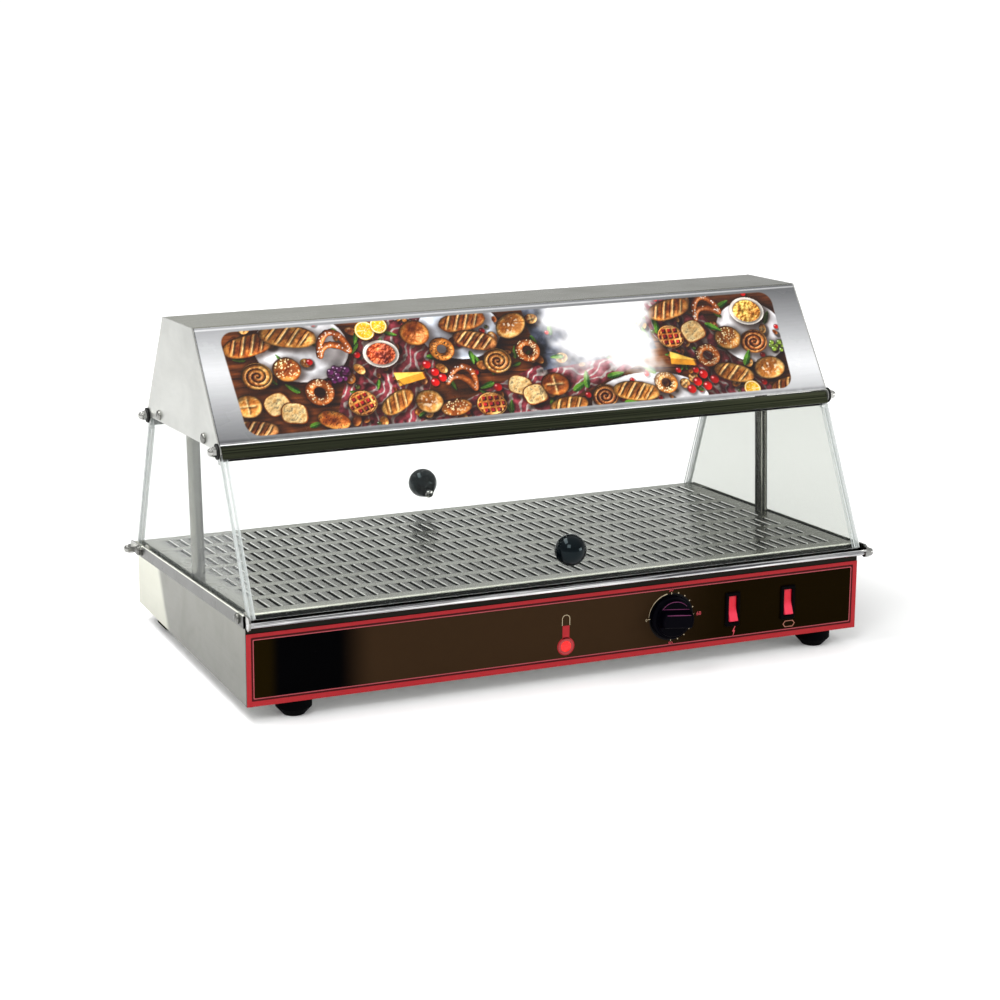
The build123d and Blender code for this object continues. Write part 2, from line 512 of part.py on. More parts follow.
# ------------------------------------------------------------------ doors
def door_pt(s, n):
    """(y, z) of a point s along the front pane from the pivot, n out of its face."""
    return (-HINGE_Y - s * sa - n * ca, HINGE_Z - s * ca + n * sa)


def slab(s0, s1, n0, n1, x0, x1):
    return prism_x([door_pt(s0, n0), door_pt(s1, n0), door_pt(s1, n1), door_pt(s0, n1)], x0, x1)


pane = slab(PANE_S0, PANE_S1, -PANE_T / 2, PANE_T / 2, -PANE_HX, PANE_HX)
# shoulders: the part inside the rail is shorter than the pane
for sx in (-1, 1):
    a = sorted((sx * (RAIL_HX - 0.4), sx * 305))
    pane -= slab(-5, RAIL_L + 0.3, -10, 10, a[0], a[1])
ky, kz = door_pt(KNOB_S, 0)
# a turned knob along the pane's outward normal
out_dir = Location((0, ky, kz)) * Rot(90 - math.degrees(alpha), 0, 0)
pane -= out_dir * Cylinder(2.2, 30)
rail = slab(0, RAIL_L, -RAIL_R, RAIL_R, -RAIL_HX, RAIL_HX) + cyl_x(-RAIL_HX, RAIL_HX, -HINGE_Y, HINGE_Z, RAIL_R)
ri = RAIL_R - RAIL_WALL
rail -= slab(0, RAIL_L + 2, -ri, ri, -310, 310) + cyl_x(-310, 310, -HINGE_Y, HINGE_Z, ri)
seal = slab(ri + 0.1, RAIL_L, -ri, ri, -RAIL_HX + 0.4, RAIL_HX - 0.4) - slab(PANE_S0, RAIL_L + 1, -PANE_T / 2, PANE_T / 2, -310, 310)
bushes = []
for sx in (-1, 1):
    a = sorted((sx * RAIL_HX, sx * 280.0))
    b = cyl_x(a[0], a[1], -HINGE_Y, HINGE_Z, ri) - cyl_x(a[0] - 1, a[1] + 1, -HINGE_Y, HINGE_Z, PIN_R + PIN_CLR)
    bushes.append(b)
cz_ = PANE_T / 2 + KNOB_OFF
h0 = PANE_T / 2
with BuildPart() as kb:
    with BuildSketch(Plane.XZ) as ks:
        with BuildLine():
            b0 = (6.0, cz_ - math.sqrt(KNOB_R ** 2 - 36.0))
            Polyline((0, h0), (6.6, h0), (6.6, h0 + 1.4), b0)
            ThreePointArc(b0, (KNOB_R, cz_), (0, cz_ + KNOB_R))
            Line((0, cz_ + KNOB_R), (0, h0))
        make_face()
    revolve(axis=Axis.Z)
ball = kb.part - Pos(0, 0, h0 - 1) * Cylinder(2.0, 11, align=(Align.CENTER, Align.CENTER, Align.MIN))
ball = out_dir * ball
kscrew = Pos(0, 0, -h0) * Cylinder(2.0, PANE_T + 10, align=(Align.CENTER, Align.CENTER, Align.MIN))
kscrew += rev([(0, -h0 - 2.6), (2.4, -h0 - 2.4), (3.9, -h0 - 1.2), (4.2, -h0), (0, -h0)], Location((0, 0, 0)))
kscrew -= box(-5, 5, -0.5, 0.5, -h0 - 4, -h0 - 1.5)
kscrew = out_dir * kscrew
for nm, f in (("front", lambda s: s), ("rear", turn)):
    keep(nm + "_door_pane", lean(f(pane)))
    keep(nm + "_door_rail", lean(f(rail)))
    keep(nm + "_door_seal", lean(f(seal)))
    keep(nm + "_door_bushes", *[lean(f(b)) for b in bushes])
    keep(nm + "_door_knob", lean(f(ball)))
    keep(nm + "_knob_screw", lean(f(kscrew)))

# ------------------------------------------------------------------ heating under the deck
EZ, ER = -20.0, 3.4
ys = [-62, -22, 18, 58, 98, 138]
x_end = 235.0
p = [(x_end + 35, ys[0])]
for i, y in enumerate(ys):
    far = -x_end if i % 2 == 0 else x_end
    if i + 1 < len(ys):
        p += [(far, y), (far, ys[i + 1])]
p.append((x_end + 35, ys[-1]))
with BuildPart() as ep:
    with BuildLine() as el:
        FilletPolyline(*[(x, y, EZ) for x, y in p], radius=18)
    with BuildSketch(Plane(origin=(p[0][0], p[0][1], EZ), x_dir=(0, 1, 0), z_dir=(-1, 0, 0))):
        Circle(ER)
    sweep(path=el.wires()[0])
keep("heating_element", lean(ep.part))
RF_Z = -32.0
# tray that hangs from the deck round the element, open for its two ends at the right
rt = box(-280, 280, -88, 149, RF_Z, RF_Z + 1)
rt += box(-280, 280, -88, -87, RF_Z, -SHEET) + box(-280, 280, 148, 149, RF_Z, -SHEET)
rt += box(-280, -279, -88, 149, RF_Z, -SHEET) + box(279, 280, -88, 149, RF_Z, RF_Z + 6)
rt -= box(-285, -270, -17, 17, -4.4, 0)      # clear of the tube's bracket
keep("reflector_tray", lean(rt))
clips = []
for x in (-150, 0, 150):
    c = box(x - 5, x + 5, -80, 148, RF_Z + 1, RF_Z + 2.2)
    for y in ys:
        c += box(x - 5, x + 5, y - 6, y - 4.2, RF_Z + 1, EZ + 3) + box(x - 5, x + 5, y + 4.2, y + 6, RF_Z + 1, EZ + 3)
        c += box(x - 5, x + 5, y - 6, y + 6, EZ - ER - 1.6, EZ - ER - 0.05)
    clips.append(lean(c))
keep("element_clips", *clips)

# terminal block, and the gland by which the supply lead would enter
tb = box(150, 210, 128, 148, FOOT_H + SHEET, FOOT_H + SHEET + 18)
for k in range(4):
    tb -= box(154 + 14 * k, 162 + 14 * k, 126, 132, FOOT_H + SHEET + 4, FOOT_H + SHEET + 14)
    tb -= cyl_z(FOOT_H + SHEET + 10, FOOT_H + SHEET + 20, 158 + 14 * k, 138, 2.4)
keep("terminal_block", tb)
GL_BORE = 4.0
gl = rev([(0, -9), (8.0, -9), (8.0, 0), (11.5, 0), (11.5, 5), (9.0, 6.5), (8.2, 14), (5.6, 17.0), (0, 17.0)], Location((0, 0, 0)))
gl += Pos(0, 0, -SHEET - 3.4) * extrude(RegularPolygon(11.0, 6), amount=3.4)
gl -= Pos(0, 0, -20) * Cylinder(GL_BORE, 60, align=(Align.CENTER, Align.CENTER, Align.MIN))
keep("cord_gland", Location((GLAND_X, BASE_HY, GLAND_Z)) * Rot(-90, 0, 0) * gl)

# ------------------------------------------------------------------ centre and write
lo = [1e9] * 3
hi = [-1e9] * 3
for ss in nodes.values():
    for s in ss:
        b = s.bounding_box(optimal=True)
        for i, (a, c) in enumerate(zip((b.min.X, b.min.Y, b.min.Z), (b.max.X, b.max.Y, b.max.Z))):
            lo[i], hi[i] = min(lo[i], a), max(hi[i], c)
print("raw box", [round(v, 3) for v in lo], [round(v, 3) for v in hi])
OFF_X, OFF_Y = -(lo[0] + hi[0]) / 2, -(lo[1] + hi[1]) / 2
print("offset", OFF_X, OFF_Y, "size", [round(h - l, 2) for l, h in zip(lo, hi)])
for name, ss in nodes.items():
    moved = [Pos(OFF_X, OFF_Y, 0) * s for s in ss]
    export_step(moved[0] if len(moved) == 1 else Compound(children=moved), f"parts/{name}.step")
print(len(nodes), "nodes")
hinge = lean(Pos(0, -HINGE_Y, HINGE_Z) * Box(1, 1, 1)).center()
hinge_r = lean(Pos(0, HINGE_Y, HINGE_Z) * Box(1, 1, 1)).center()
print("front hinge", hinge, "rear hinge", hinge_r)
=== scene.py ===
import math

import bmesh
import bpy
import numpy as np
from mathutils import Matrix, Vector


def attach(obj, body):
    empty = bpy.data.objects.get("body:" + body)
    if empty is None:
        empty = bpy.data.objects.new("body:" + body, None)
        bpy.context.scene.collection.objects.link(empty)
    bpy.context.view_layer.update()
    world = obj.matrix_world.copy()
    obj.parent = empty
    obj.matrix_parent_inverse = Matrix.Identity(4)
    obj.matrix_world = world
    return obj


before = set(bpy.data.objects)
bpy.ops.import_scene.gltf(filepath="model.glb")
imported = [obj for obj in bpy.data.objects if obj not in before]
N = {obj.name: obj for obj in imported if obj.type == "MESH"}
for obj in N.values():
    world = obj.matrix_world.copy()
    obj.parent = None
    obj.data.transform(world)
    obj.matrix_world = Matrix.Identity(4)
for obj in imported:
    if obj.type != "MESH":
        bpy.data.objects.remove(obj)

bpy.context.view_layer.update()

# ---------------------------------------------------------------- camera
CAM = Vector((-0.95029, -2.20238, 0.76688))
yaw, pitch, roll = (math.radians(a) for a in (23.52, -14.92, 0.38))
d = Vector((math.sin(yaw) * math.cos(pitch), math.cos(yaw) * math.cos(pitch), math.sin(pitch)))
r0 = Vector((math.cos(yaw), -math.sin(yaw), 0.0))
u0 = r0.cross(d)
cr = r0 * math.cos(roll) + u0 * math.sin(roll)
cu = -r0 * math.sin(roll) + u0 * math.cos(roll)
camera = bpy.data.objects.new("camera", bpy.data.cameras.new("camera"))
bpy.context.scene.collection.objects.link(camera)
camera.data.sensor_fit = "HORIZONTAL"
camera.data.sensor_width = 36.0
camera.data.lens = 95.017
camera.data.clip_end = 200.0
camera.matrix_world = Matrix(((cr.x, cu.x, -d.x, CAM.x), (cr.y, cu.y, -d.y, CAM.y), (cr.z, cu.z, -d.z, CAM.z), (0, 0, 0, 1)))
bpy.context.scene.camera = camera

# ---------------------------------------------------------------- the leaned frame of deck and hood, mm to metres
OY = -2.52976
TILT = math.radians(3.8)
LEAN = Matrix.Translation((0, (0.8 + OY) / 1000, 0.08783)) @ Matrix.Rotation(-TILT, 4, "X") @ Matrix.Scale(0.001, 4)
BASE = Matrix.Translation((0, OY / 1000, 0)) @ Matrix.Scale(0.001, 4)
FACE = -165.8


def srgb(*c):
    """0..255 values to linear."""
    out = []
    for v in c:
        v = v / 255.0
        out.append(v / 12.92 if v <= 0.04045 else ((v + 0.055) / 1.055) ** 2.4)
    return tuple(out)


# ---------------------------------------------------------------- node helpers
class Mat:
    def __init__(self, name, **inputs):
        self.m = bpy.data.materials.new(name)
        self.m.use_nodes = True
        self.nt = self.m.node_tree
        self.nt.nodes.clear()
        self.out = self.nt.nodes.new("ShaderNodeOutputMaterial")
        self.p = self.nt.nodes.new("ShaderNodeBsdfPrincipled")
        self.nt.links.new(self.p.outputs[0], self.out.inputs["Surface"])
        self.tc = self.nt.nodes.new("ShaderNodeTexCoord")
        for k, v in inputs.items():
            self.set(k.replace("_", " "), v)

    def set(self, name, v):
        self.put(self.p.inputs[name], v)

    def put(self, sock, v):
        if isinstance(v, bpy.types.NodeSocket):
            self.nt.links.new(v, sock)
        elif isinstance(v, (tuple, list)) and len(v) == 3 and sock.type == "RGBA":
            sock.default_value = (*v, 1.0)
        else:
            sock.default_value = v

    def coord(self, scale=(1, 1, 1), rot=(0, 0, 0), loc=(0, 0, 0)):
        n = self.nt.nodes.new("ShaderNodeMapping")
        n.inputs["Scale"].default_value = scale
        n.inputs["Rotation"].default_value = rot
        n.inputs["Location"].default_value = loc
        self.nt.links.new(self.tc.outputs["Object"], n.inputs["Vector"])
        return n.outputs[0]

    def noise(self, vec, scale=1.0, detail=3.0, rough=0.5, dist=0.0):
        n = self.nt.nodes.new("ShaderNodeTexNoise")
        self.put(n.inputs["Vector"], vec)
        n.inputs["Scale"].default_value = scale
        n.inputs["Detail"].default_value = detail
        n.inputs["Roughness"].default_value = rough
        n.inputs["Distortion"].default_value = dist
        return n.outputs[0]

    def voronoi(self, vec, scale=1.0, feature="F1"):
        n = self.nt.nodes.new("ShaderNodeTexVoronoi")
        n.feature = feature
        self.put(n.inputs["Vector"], vec)
        n.inputs["Scale"].default_value = scale
        return n.outputs["Distance"]

    def math(self, op, a, b=0.0, c=None, clamp=False):
        n = self.nt.nodes.new("ShaderNodeMath")
        n.operation = op
        n.use_clamp = clamp
        self.put(n.inputs[0], a)
        self.put(n.inputs[1], b)
        if c is not None:
            self.put(n.inputs[2], c)
        return n.outputs[0]

    def remap(self, v, a0, a1, b0, b1, smooth=False):
        n = self.nt.nodes.new("ShaderNodeMapRange")
        n.clamp = True
        if smooth:
            n.interpolation_type = "SMOOTHSTEP"
        for i, x in enumerate((v, a0, a1, b0, b1)):
            self.put(n.inputs[i], x)
        return n.outputs[0]

    def mix(self, fac, a, b, mode="MIX"):
        n = self.nt.nodes.new("ShaderNodeMix")
        n.data_type = "RGBA"
        n.blend_type = mode
        self.put(n.inputs[0], fac)
        self.put(n.inputs[6], a)
        self.put(n.inputs[7], b)
        return n.outputs[2]

    def xyz(self, vec):
        n = self.nt.nodes.new("ShaderNodeSeparateXYZ")
        self.nt.links.new(vec, n.inputs[0])
        return n.outputs

    def dot(self, vec, v):
        n = self.nt.nodes.new("ShaderNodeVectorMath")
        n.operation = "DOT_PRODUCT"
        self.put(n.inputs[0], vec)
        n.inputs[1].default_value = v
        return n.outputs["Value"]

    def bump(self, height, strength=0.2, distance=0.0002, normal=None):
        n = self.nt.nodes.new("ShaderNodeBump")
        n.inputs["Strength"].default_value = strength
        n.inputs["Distance"].default_value = distance
        self.put(n.inputs["Height"], height)
        if normal is not None:
            self.put(n.inputs["Normal"], normal)
        return n.outputs[0]

    def bevel(self, radius):
        n = self.nt.nodes.new("ShaderNodeBevel")
        n.samples = 4
        n.inputs["Radius"].default_value = radius
        return n.outputs[0]


def give(material, *names):
    for n in names:
        o = N[n] if isinstance(n, str) else n
        o.data.materials.clear()
        o.data.materials.append(material)
        for p in o.data.polygons:
            p.material_index = 0


# ---------------------------------------------------------------- materials
def steel(name, tint, along, rough=0.26, soft=0.12, spot=0.05, edge=0.0005, tone=None):
    """Brushed stainless sheet. along: stretch of the brushing, small along the strokes."""
    m = Mat(name, Metallic=1.0)
    fine = m.noise(m.coord(tuple(a * 1.0 for a in along)), 1.0, 4.0, 0.62)
    wide = m.noise(m.coord(tuple(a * 0.055 for a in along)), 1.0, 3.0, 0.55)
    cloud = m.noise(m.coord((5, 5, 5)), 1.0, 3.0, 0.6)
    finger = m.noise(m.coord((26, 26, 26)), 1.0, 5.0, 0.65, 0.6)
    lum = m.math("MULTIPLY_ADD", fine, 0.20, 0.90)
    lum = m.math("MULTIPLY", lum, m.math("MULTIPLY_ADD", wide, 0.14, 0.93))
    lum = m.math("MULTIPLY", lum, m.math("MULTIPLY_ADD", cloud, 0.10, 0.95))
    if tone is not None:
        lum = m.math("MULTIPLY", lum, tone(m))
    rgb = m.mix(1.0, (*tint, 1.0), lum, "MULTIPLY")
    m.set("Base Color", rgb)
    ro = m.math("MULTIPLY_ADD", fine, soft, rough - soft * 0.5)
    ro = m.math("ADD", ro, m.math("MULTIPLY", m.remap(finger, 0.45, 0.7, 0.0, 1.0), spot))
    m.set("Roughness", ro)
    nrm = m.bevel(edge) if edge else None
    m.set("Normal", m.bump(fine, 0.16, 0.00006, nrm))
    return m.m


def plastic(name, col, rough=0.25, grain=900.0, depth=0.00002, amount=0.06, coat=0.0, edge=0.0, **kw):
    m = Mat(name, **kw)
    n = m.noise(m.coord((grain,) * 3), 1.0, 3.0, 0.6)
    w = m.noise(m.coord((30, 30, 30)), 1.0, 4.0, 0.6)
    m.set("Base Color", m.mix(w, tuple(c * 0.86 for c in col), tuple(min(1, c * 1.14) for c in col)))
    m.set("Roughness", m.math("MULTIPLY_ADD", w, amount, rough - amount / 2))
    m.set("Coat Weight", coat)
    m.set("Coat Roughness", 0.06)
    m.set("Normal", m.bump(n, 0.25, depth, m.bevel(edge) if edge else None))
    return m.m


CT, ST = math.cos(TILT), math.sin(TILT)
TY, TZ = (0.8 + OY) / 1000, 0.08783


def leaned(m):
    """Depth and height of a point in the leaned frame, metres."""
    p = m.tc.outputs["Object"]
    yy = m.math("SUBTRACT", m.dot(p, (0, CT, -ST)), TY * CT - TZ * ST)
    zz = m.math("SUBTRACT", m.dot(p, (0, ST, CT)), TY * ST + TZ * CT)
    return yy, zz


def side_painted_light(m):
    """Painted reflection on the end walls: the rear third is painted brighter behind a slanted, wobbly boundary, and
    the rest stays duller; painted shade darkens the walls towards the bottom.
    """
    x, y, z = m.xyz(m.tc.outputs["Object"])
    wob = m.noise(m.coord((9, 9, 9)), 1.0, 3.0, 0.6)
    edge = m.math("MULTIPLY_ADD", z, 0.52, m.math("MULTIPLY_ADD", wob, 0.016, 0.048))
    rear_painted_reflection = m.remap(m.math("SUBTRACT", y, edge), -0.006, 0.010, 0.0, 1.0, True)
    painted_light_by_height = m.remap(z, 0.019, 0.089, 0.62, 0.87)
    return m.math("MULTIPLY", painted_light_by_height, m.math("MULTIPLY_ADD", rear_painted_reflection, 2.45, 0.92))


def deck_painted_light(m):
    """Painted light on the deck: darker in noisy patches along the slot rows, painted shade on the front lip and the
    side flanks, painted highlights on the folded edges, and painted light that is brighter at the left end and darker
    towards the right.
    """
    x, y, z = m.xyz(m.tc.outputs["Object"])
    yy, zz = leaned(m)
    row = m.math("ABSOLUTE", m.math("SUBTRACT", m.math("FRACT", m.math("MULTIPLY_ADD", yy, 1 / 0.045, 50.5)), 0.5))
    in_row = m.remap(row, 0.33, 0.42, 1.0, 0.0, True)
    field_x = m.remap(m.math("ABSOLUTE", x), 0.276, 0.284, 1.0, 0.0, True)
    field_y = m.remap(m.math("ABSOLUTE", yy), 0.149, 0.156, 1.0, 0.0, True)
    stain = m.noise(m.coord((14, 14, 14)), 1.0, 5.0, 0.7, 0.5)
    dull = m.math("MULTIPLY", m.math("MULTIPLY", in_row, field_x), m.math("MULTIPLY", field_y, m.remap(stain, 0.35, 0.62, 0.30, 0.72)))
    tone = m.math("SUBTRACT", 1.0, dull)
    # painted shade: the front lip is painted near black, with lighter streaks towards the right
    front = m.remap(yy, -0.1652, -0.1640, 1.0, 0.0)
    lip = m.math("MULTIPLY", front, m.remap(zz, -0.0020, -0.0011, 1.0, 0.0))
    streak = m.noise(m.coord((9, 500, 700)), 1.0, 3.0, 0.6)
    fade = m.math("SUBTRACT", m.remap(x, -0.10, 0.22, 0.975, 0.82), 0.992)
    dark = m.math("MULTIPLY_ADD", m.remap(streak, 0.35, 0.70, 0.0, 1.0), fade, 0.992)
    tone = m.math("MULTIPLY", tone, m.math("SUBTRACT", 1.0, m.math("MULTIPLY", lip, dark)))
    # painted highlight along the rolled front edge
    rim = m.math("MULTIPLY", m.remap(yy, -0.1648, -0.1638, 1.0, 0.0), m.remap(zz, -0.0012, -0.0006, 0.0, 1.0))
    tone = m.math("ADD", tone, m.math("MULTIPLY", rim, 0.8))
    # painted shade on the side flanks, painted highlight on their tops
    flank = m.remap(m.math("ABSOLUTE", x), 0.2986, 0.2994, 0.0, 1.0)
    tone = m.math("MULTIPLY", tone, m.math("SUBTRACT", 1.0, m.math("MULTIPLY", flank, m.remap(zz, -0.0016, -0.0010, 0.90, 0.0))))
    flank_top_highlight = m.math("MULTIPLY", flank, m.remap(zz, -0.0016, -0.0010, 0.0, 1.0))
    # painted light: brighter at the left end, darker towards the right
    tone = m.math("MULTIPLY", tone, m.math("MULTIPLY", m.remap(x, 0.05, 0.28, 1.0, 0.80), m.remap(x, -0.30, -0.20, 1.42, 1.0)))
    return m.math("ADD", tone, m.math("MULTIPLY", flank_top_highlight, 0.3))


def tube_painted_light(m):
    """Painted light on the tubes: a painted highlight on the side that faces out to the left, duller round the rest;
    the right tube is painted darker with painted reflection streaks.
    """
    x, y, z = m.xyz(m.tc.outputs["Object"])
    nx = m.dot(m.tc.outputs["Normal"], (-1.0, -0.10, 0.0))
    out = m.remap(nx, 0.25, 0.95, 0.56, 1.10, True)
    right = m.remap(x, -0.01, 0.01, 0.0, 1.0)
    round_ = m.dot(m.tc.outputs["Normal"], (0.917, -0.399, 0.0))
    streak = m.math("ADD", m.remap(m.math("ABSOLUTE", m.math("SUBTRACT", round_, 0.02)), 0.05, 0.16, 1.9, 0.30, True),
                    m.remap(m.math("ABSOLUTE", m.math("SUBTRACT", round_, 0.66)), 0.05, 0.20, 1.0, 0.0, True))
    streak = m.math("ADD", streak, m.remap(m.math("ABSOLUTE", m.math("ADD", round_, 0.50)), 0.08, 0.25, 0.42, 0.0, True))
    mixed = m.math("ADD", m.math("MULTIPLY", right, m.math("MULTIPLY", streak, 0.66)), m.math("MULTIPLY", m.math("SUBTRACT", 1.0, right), out))
    return m.math("MULTIPLY", mixed, m.math("MULTIPLY_ADD", m.noise(m.coord((30, 30, 14)), 1.0, 4.0, 0.65), 0.30, 0.85))


def cloud_tone(m):
    a = m.noise(m.coord((11, 11, 16)), 1.0, 4.0, 0.6, 0.7)
    return m.remap(a, 0.30, 0.70, 0.86, 1.10)


def roof_painted_shade(m):
    # painted shade: the roof darkens from the left end to the right, with random patches
    x, y, z = m.xyz(m.tc.outputs["Object"])
    patch = m.noise(m.coord((7, 60, 60)), 1.0, 3.0, 0.6)
    return m.math("MULTIPLY", m.remap(x, -0.30, 0.30, 1.10, 0.56), m.math("MULTIPLY_ADD", patch, 0.16, 0.92))


X_RUN, Y_RUN, HZ_RUN = (5, 1400, 1400), (1400, 5, 1400), (4, 4, 1500)
give(steel("base_side_steel", (0.196, 0.196, 0.164), HZ_RUN, 0.30, tone=side_painted_light), "base_shell")
# painted shade: the front wall's steel is given a near-black tint
give(steel("front_panel_painted_shade", (0.011, 0.010, 0.008), X_RUN, 0.30, tone=cloud_tone), "front_panel")
give(steel("bottom_steel", (0.45, 0.45, 0.43), X_RUN, 0.34), "bottom_plate", "column_brackets", "hood_floor")
give(steel("deck_steel", (0.365, 0.37, 0.320), X_RUN, 0.24, edge=0.0006, tone=deck_painted_light), "deck_tray")
give(steel("hood_roof_steel", (0.206, 0.210, 0.160), X_RUN, 0.28, tone=roof_painted_shade), "hood_shell")
give(steel("rear_facade_steel", (0.50, 0.50, 0.48), X_RUN, 0.26), "rear_facade", "front_facade")
give(steel("hood_side_steel", (0.425, 0.43, 0.405), HZ_RUN, 0.34, tone=cloud_tone), "hood_side_left", "hood_side_right")
give(steel("column_steel", (0.185, 0.185, 0.158), (1500, 1500, 6), 0.20, edge=0.0, tone=tube_painted_light), "left_column", "right_column")


def polished(name, tint=(0.42, 0.42, 0.40), rough=0.12):
    m = Mat(name, Metallic=1.0)
    s = m.noise(m.coord((420, 420, 420)), 1.0, 4.0, 0.7)
    w = m.noise(m.coord((60, 60, 60)), 1.0, 3.0, 0.6)
    m.set("Base Color", m.mix(m.remap(w, 0.35, 0.65, 0.0, 1.0), tuple(c * 0.45 for c in tint), tint))
    m.set("Roughness", m.math("MULTIPLY_ADD", s, 0.14, rough - 0.04))
    m.set("Normal", m.bump(s, 0.10, 0.00003, m.bevel(0.00025)))
    return m.m


bright = polished("polished_fittings")
give(bright, "foot_screws", "pane_screws", "pane_nuts", "rod_brackets", "rod_cap_nuts", "hinge_pins", "hinge_cap_nuts",
     "front_knob_screw", "rear_knob_screw", "thermostat_shaft", "element_clips")
rod = Mat("polished_rod", Metallic=1.0)
lines = rod.noise(rod.coord((900, 900, 900)), 1.0, 3.0, 0.7)
# painted reflection: light and dark streaks along the rods
reflection_streaks = rod.noise(rod.coord((6, 420, 420)), 1.0, 4.0, 0.75)
rod.set("Base Color", rod.mix(rod.remap(reflection_streaks, 0.40, 0.60, 0.0, 1.0), (0.10, 0.10, 0.11), (0.86, 0.86, 0.86)))
rod.set("Roughness", rod.math("MULTIPLY_ADD", lines, 0.12, 0.07))
rod.set("Normal", rod.bump(lines, 0.12, 0.00004))
give(rod.m, "front_rest_rod", "rear_rest_rod")

# painted shade: the rails' steel is given a near-black olive, painted brighter towards the right
dark = Mat("rail_painted_shade", Metallic=0.75)
dn = dark.noise(dark.coord((4, 900, 900)), 1.0, 4.0, 0.6)
dx_, dy_, dz_ = dark.xyz(dark.tc.outputs["Object"])
dcol = dark.mix(dark.remap(dn, 0.35, 0.65, 0.0, 1.0), (0.007, 0.009, 0.004), (0.034, 0.038, 0.021))
dark.set("Base Color", dark.mix(1.0, dcol, dark.remap(dx_, -0.05, 0.28, 1.0, 1.7), "MULTIPLY"))
dark.set("Specular IOR Level", 0.25)
dark.set("Roughness", dark.math("MULTIPLY_ADD", dn, 0.14, 0.22))
dark.set("Normal", dark.bump(dn, 0.15, 0.00006, dark.bevel(0.0004)))
give(dark.m, "front_door_rail", "rear_door_rail")


def acrylic(name, main, band=None, clear_tint=(0.985, 0.990, 0.986, 1.0)):
    """Clear sheet: light goes straight through with a gloss, sawn edges scatter it. Given band, painted highlights run
    along the side ends of the face.
    """
    m = Mat(name)
    m.set("IOR", 1.49)
    nt = m.nt
    clear = nt.nodes.new("ShaderNodeBsdfTransparent")
    clear.inputs["Color"].default_value = clear_tint
    face = m.math("ABSOLUTE", m.dot(m.tc.outputs["Normal"], main))
    is_edge = m.remap(face, 0.80, 0.95, 1.0, 0.0)
    lw = nt.nodes.new("ShaderNodeLayerWeight")
    lw.inputs["Blend"].default_value = 0.5
    haze = m.noise(m.coord((18, 18, 18)), 1.0, 5.0, 0.7, 0.8)
    wipe = m.math("MULTIPLY", m.remap(haze, 0.50, 0.85, 0.0, 1.0), 0.012)
    gloss = m.math("MULTIPLY_ADD", m.math("POWER", lw.outputs["Facing"], 5.0), 0.55, 0.012)
    body = m.math("ADD", gloss, wipe)
    if band is not None:
        # painted highlight: a bright band, a line and an outer strip near the side ends of the door panes
        x, y, z = m.xyz(m.tc.outputs["Object"])
        grain = m.noise(m.coord((300, 300, 60)), 1.0, 3.0, 0.6)
        ax = m.math("ABSOLUTE", x)
        glow = m.remap(ax, band - 0.0058, band - 0.0050, 0.0, 1.0)
        line = m.math("MULTIPLY", m.remap(ax, band - 0.0060, band - 0.0056, 0.0, 0.55), m.remap(ax, band - 0.0048, band - 0.0044, 1.0, 0.0))
        outer = m.remap(ax, band - 0.0016, band - 0.0010, 0.0, 0.45)
        body = m.math("ADD", body, m.math("MULTIPLY", glow, m.math("MULTIPLY_ADD", grain, 0.30, 0.14)))
        body = m.math("ADD", m.math("ADD", body, line), outer)
    saw = m.noise(m.coord((900, 900, 900)), 1.0, 3.0, 0.7)
    rim = m.math("MULTIPLY_ADD", saw, 0.25, 0.50)
    fac = m.math("ADD", m.math("MULTIPLY", is_edge, rim), m.math("MULTIPLY", m.math("SUBTRACT", 1.0, is_edge), body), clamp=True)
    m.set("Base Color", m.mix(saw, (0.36, 0.39, 0.38), (0.56, 0.59, 0.58)))
    m.set("Roughness", m.math("MULTIPLY_ADD", is_edge, 0.30, 0.05))
    mix = nt.nodes.new("ShaderNodeMixShader")
    nt.links.new(fac, mix.inputs[0])
    nt.links.new(clear.outputs[0], mix.inputs[1])
    nt.links.new(m.p.outputs[0], mix.inputs[2])
    nt.links.new(mix.outputs[0], m.out.inputs["Surface"])
    return m.m


alpha = math.atan2(61.4, 130.4)
lean3 = LEAN.to_3x3().normalized()
n_front = lean3 @ Vector((0, -math.cos(alpha), math.sin(alpha)))
n_rear = lean3 @ Vector((0, math.cos(alpha), math.sin(alpha)))
# painted shade: the right pane lets less light through than the left
give(acrylic("acrylic_side_right_painted_shade", (1, 0, 0), None, (0.775, 0.782, 0.762, 1.0)), "right_side_pane")
give(acrylic("acrylic_side_left", (1, 0, 0), None, (0.925, 0.927, 0.922, 1.0)), "left_side_pane")
give(acrylic("acrylic_front_door", tuple(n_front.normalized()), 0.297), "front_door_pane")
give(acrylic("acrylic_rear_door", tuple(n_rear.normalized()), 0.297), "rear_door_pane")

give(plastic("ball_black", (0.0004, 0.0012, 0.0022), 0.09, amount=0.05, Specular_IOR_Level=0.16, Specular_Tint=(0.72, 0.95, 1.0, 1.0)), "front_door_knob", "rear_door_knob")
give(plastic("dial_black", (0.0005, 0.0004, 0.0016), 0.34, 1500, edge=0.0006, Specular_IOR_Level=0.02), "thermostat_knob")
give(plastic("foot_rubber", (0.0005, 0.0005, 0.0009), 0.65, 700, 0.00006, edge=0.0008, Specular_IOR_Level=0.02), "feet")
give(plastic("seal_rubber", (0.004, 0.004, 0.004), 0.6, 700, Specular_IOR_Level=0.1), "front_door_seal", "rear_door_seal", "hinge_washers")
give(plastic("bush_nylon", (0.62, 0.60, 0.55), 0.45, 600), "front_door_bushes", "rear_door_bushes", "pane_spacers")
give(plastic("switch_black", (0.0008, 0.0005, 0.0008), 0.34, 1200, edge=0.0005, Specular_IOR_Level=0.02), "heat_switch_body", "light_switch_body", "thermostat_body", "cord_gland")
give(plastic("lamp_body_red", (0.30, 0.008, 0.010), 0.30, 900), "indicator_body")
red = Mat("rocker_red")
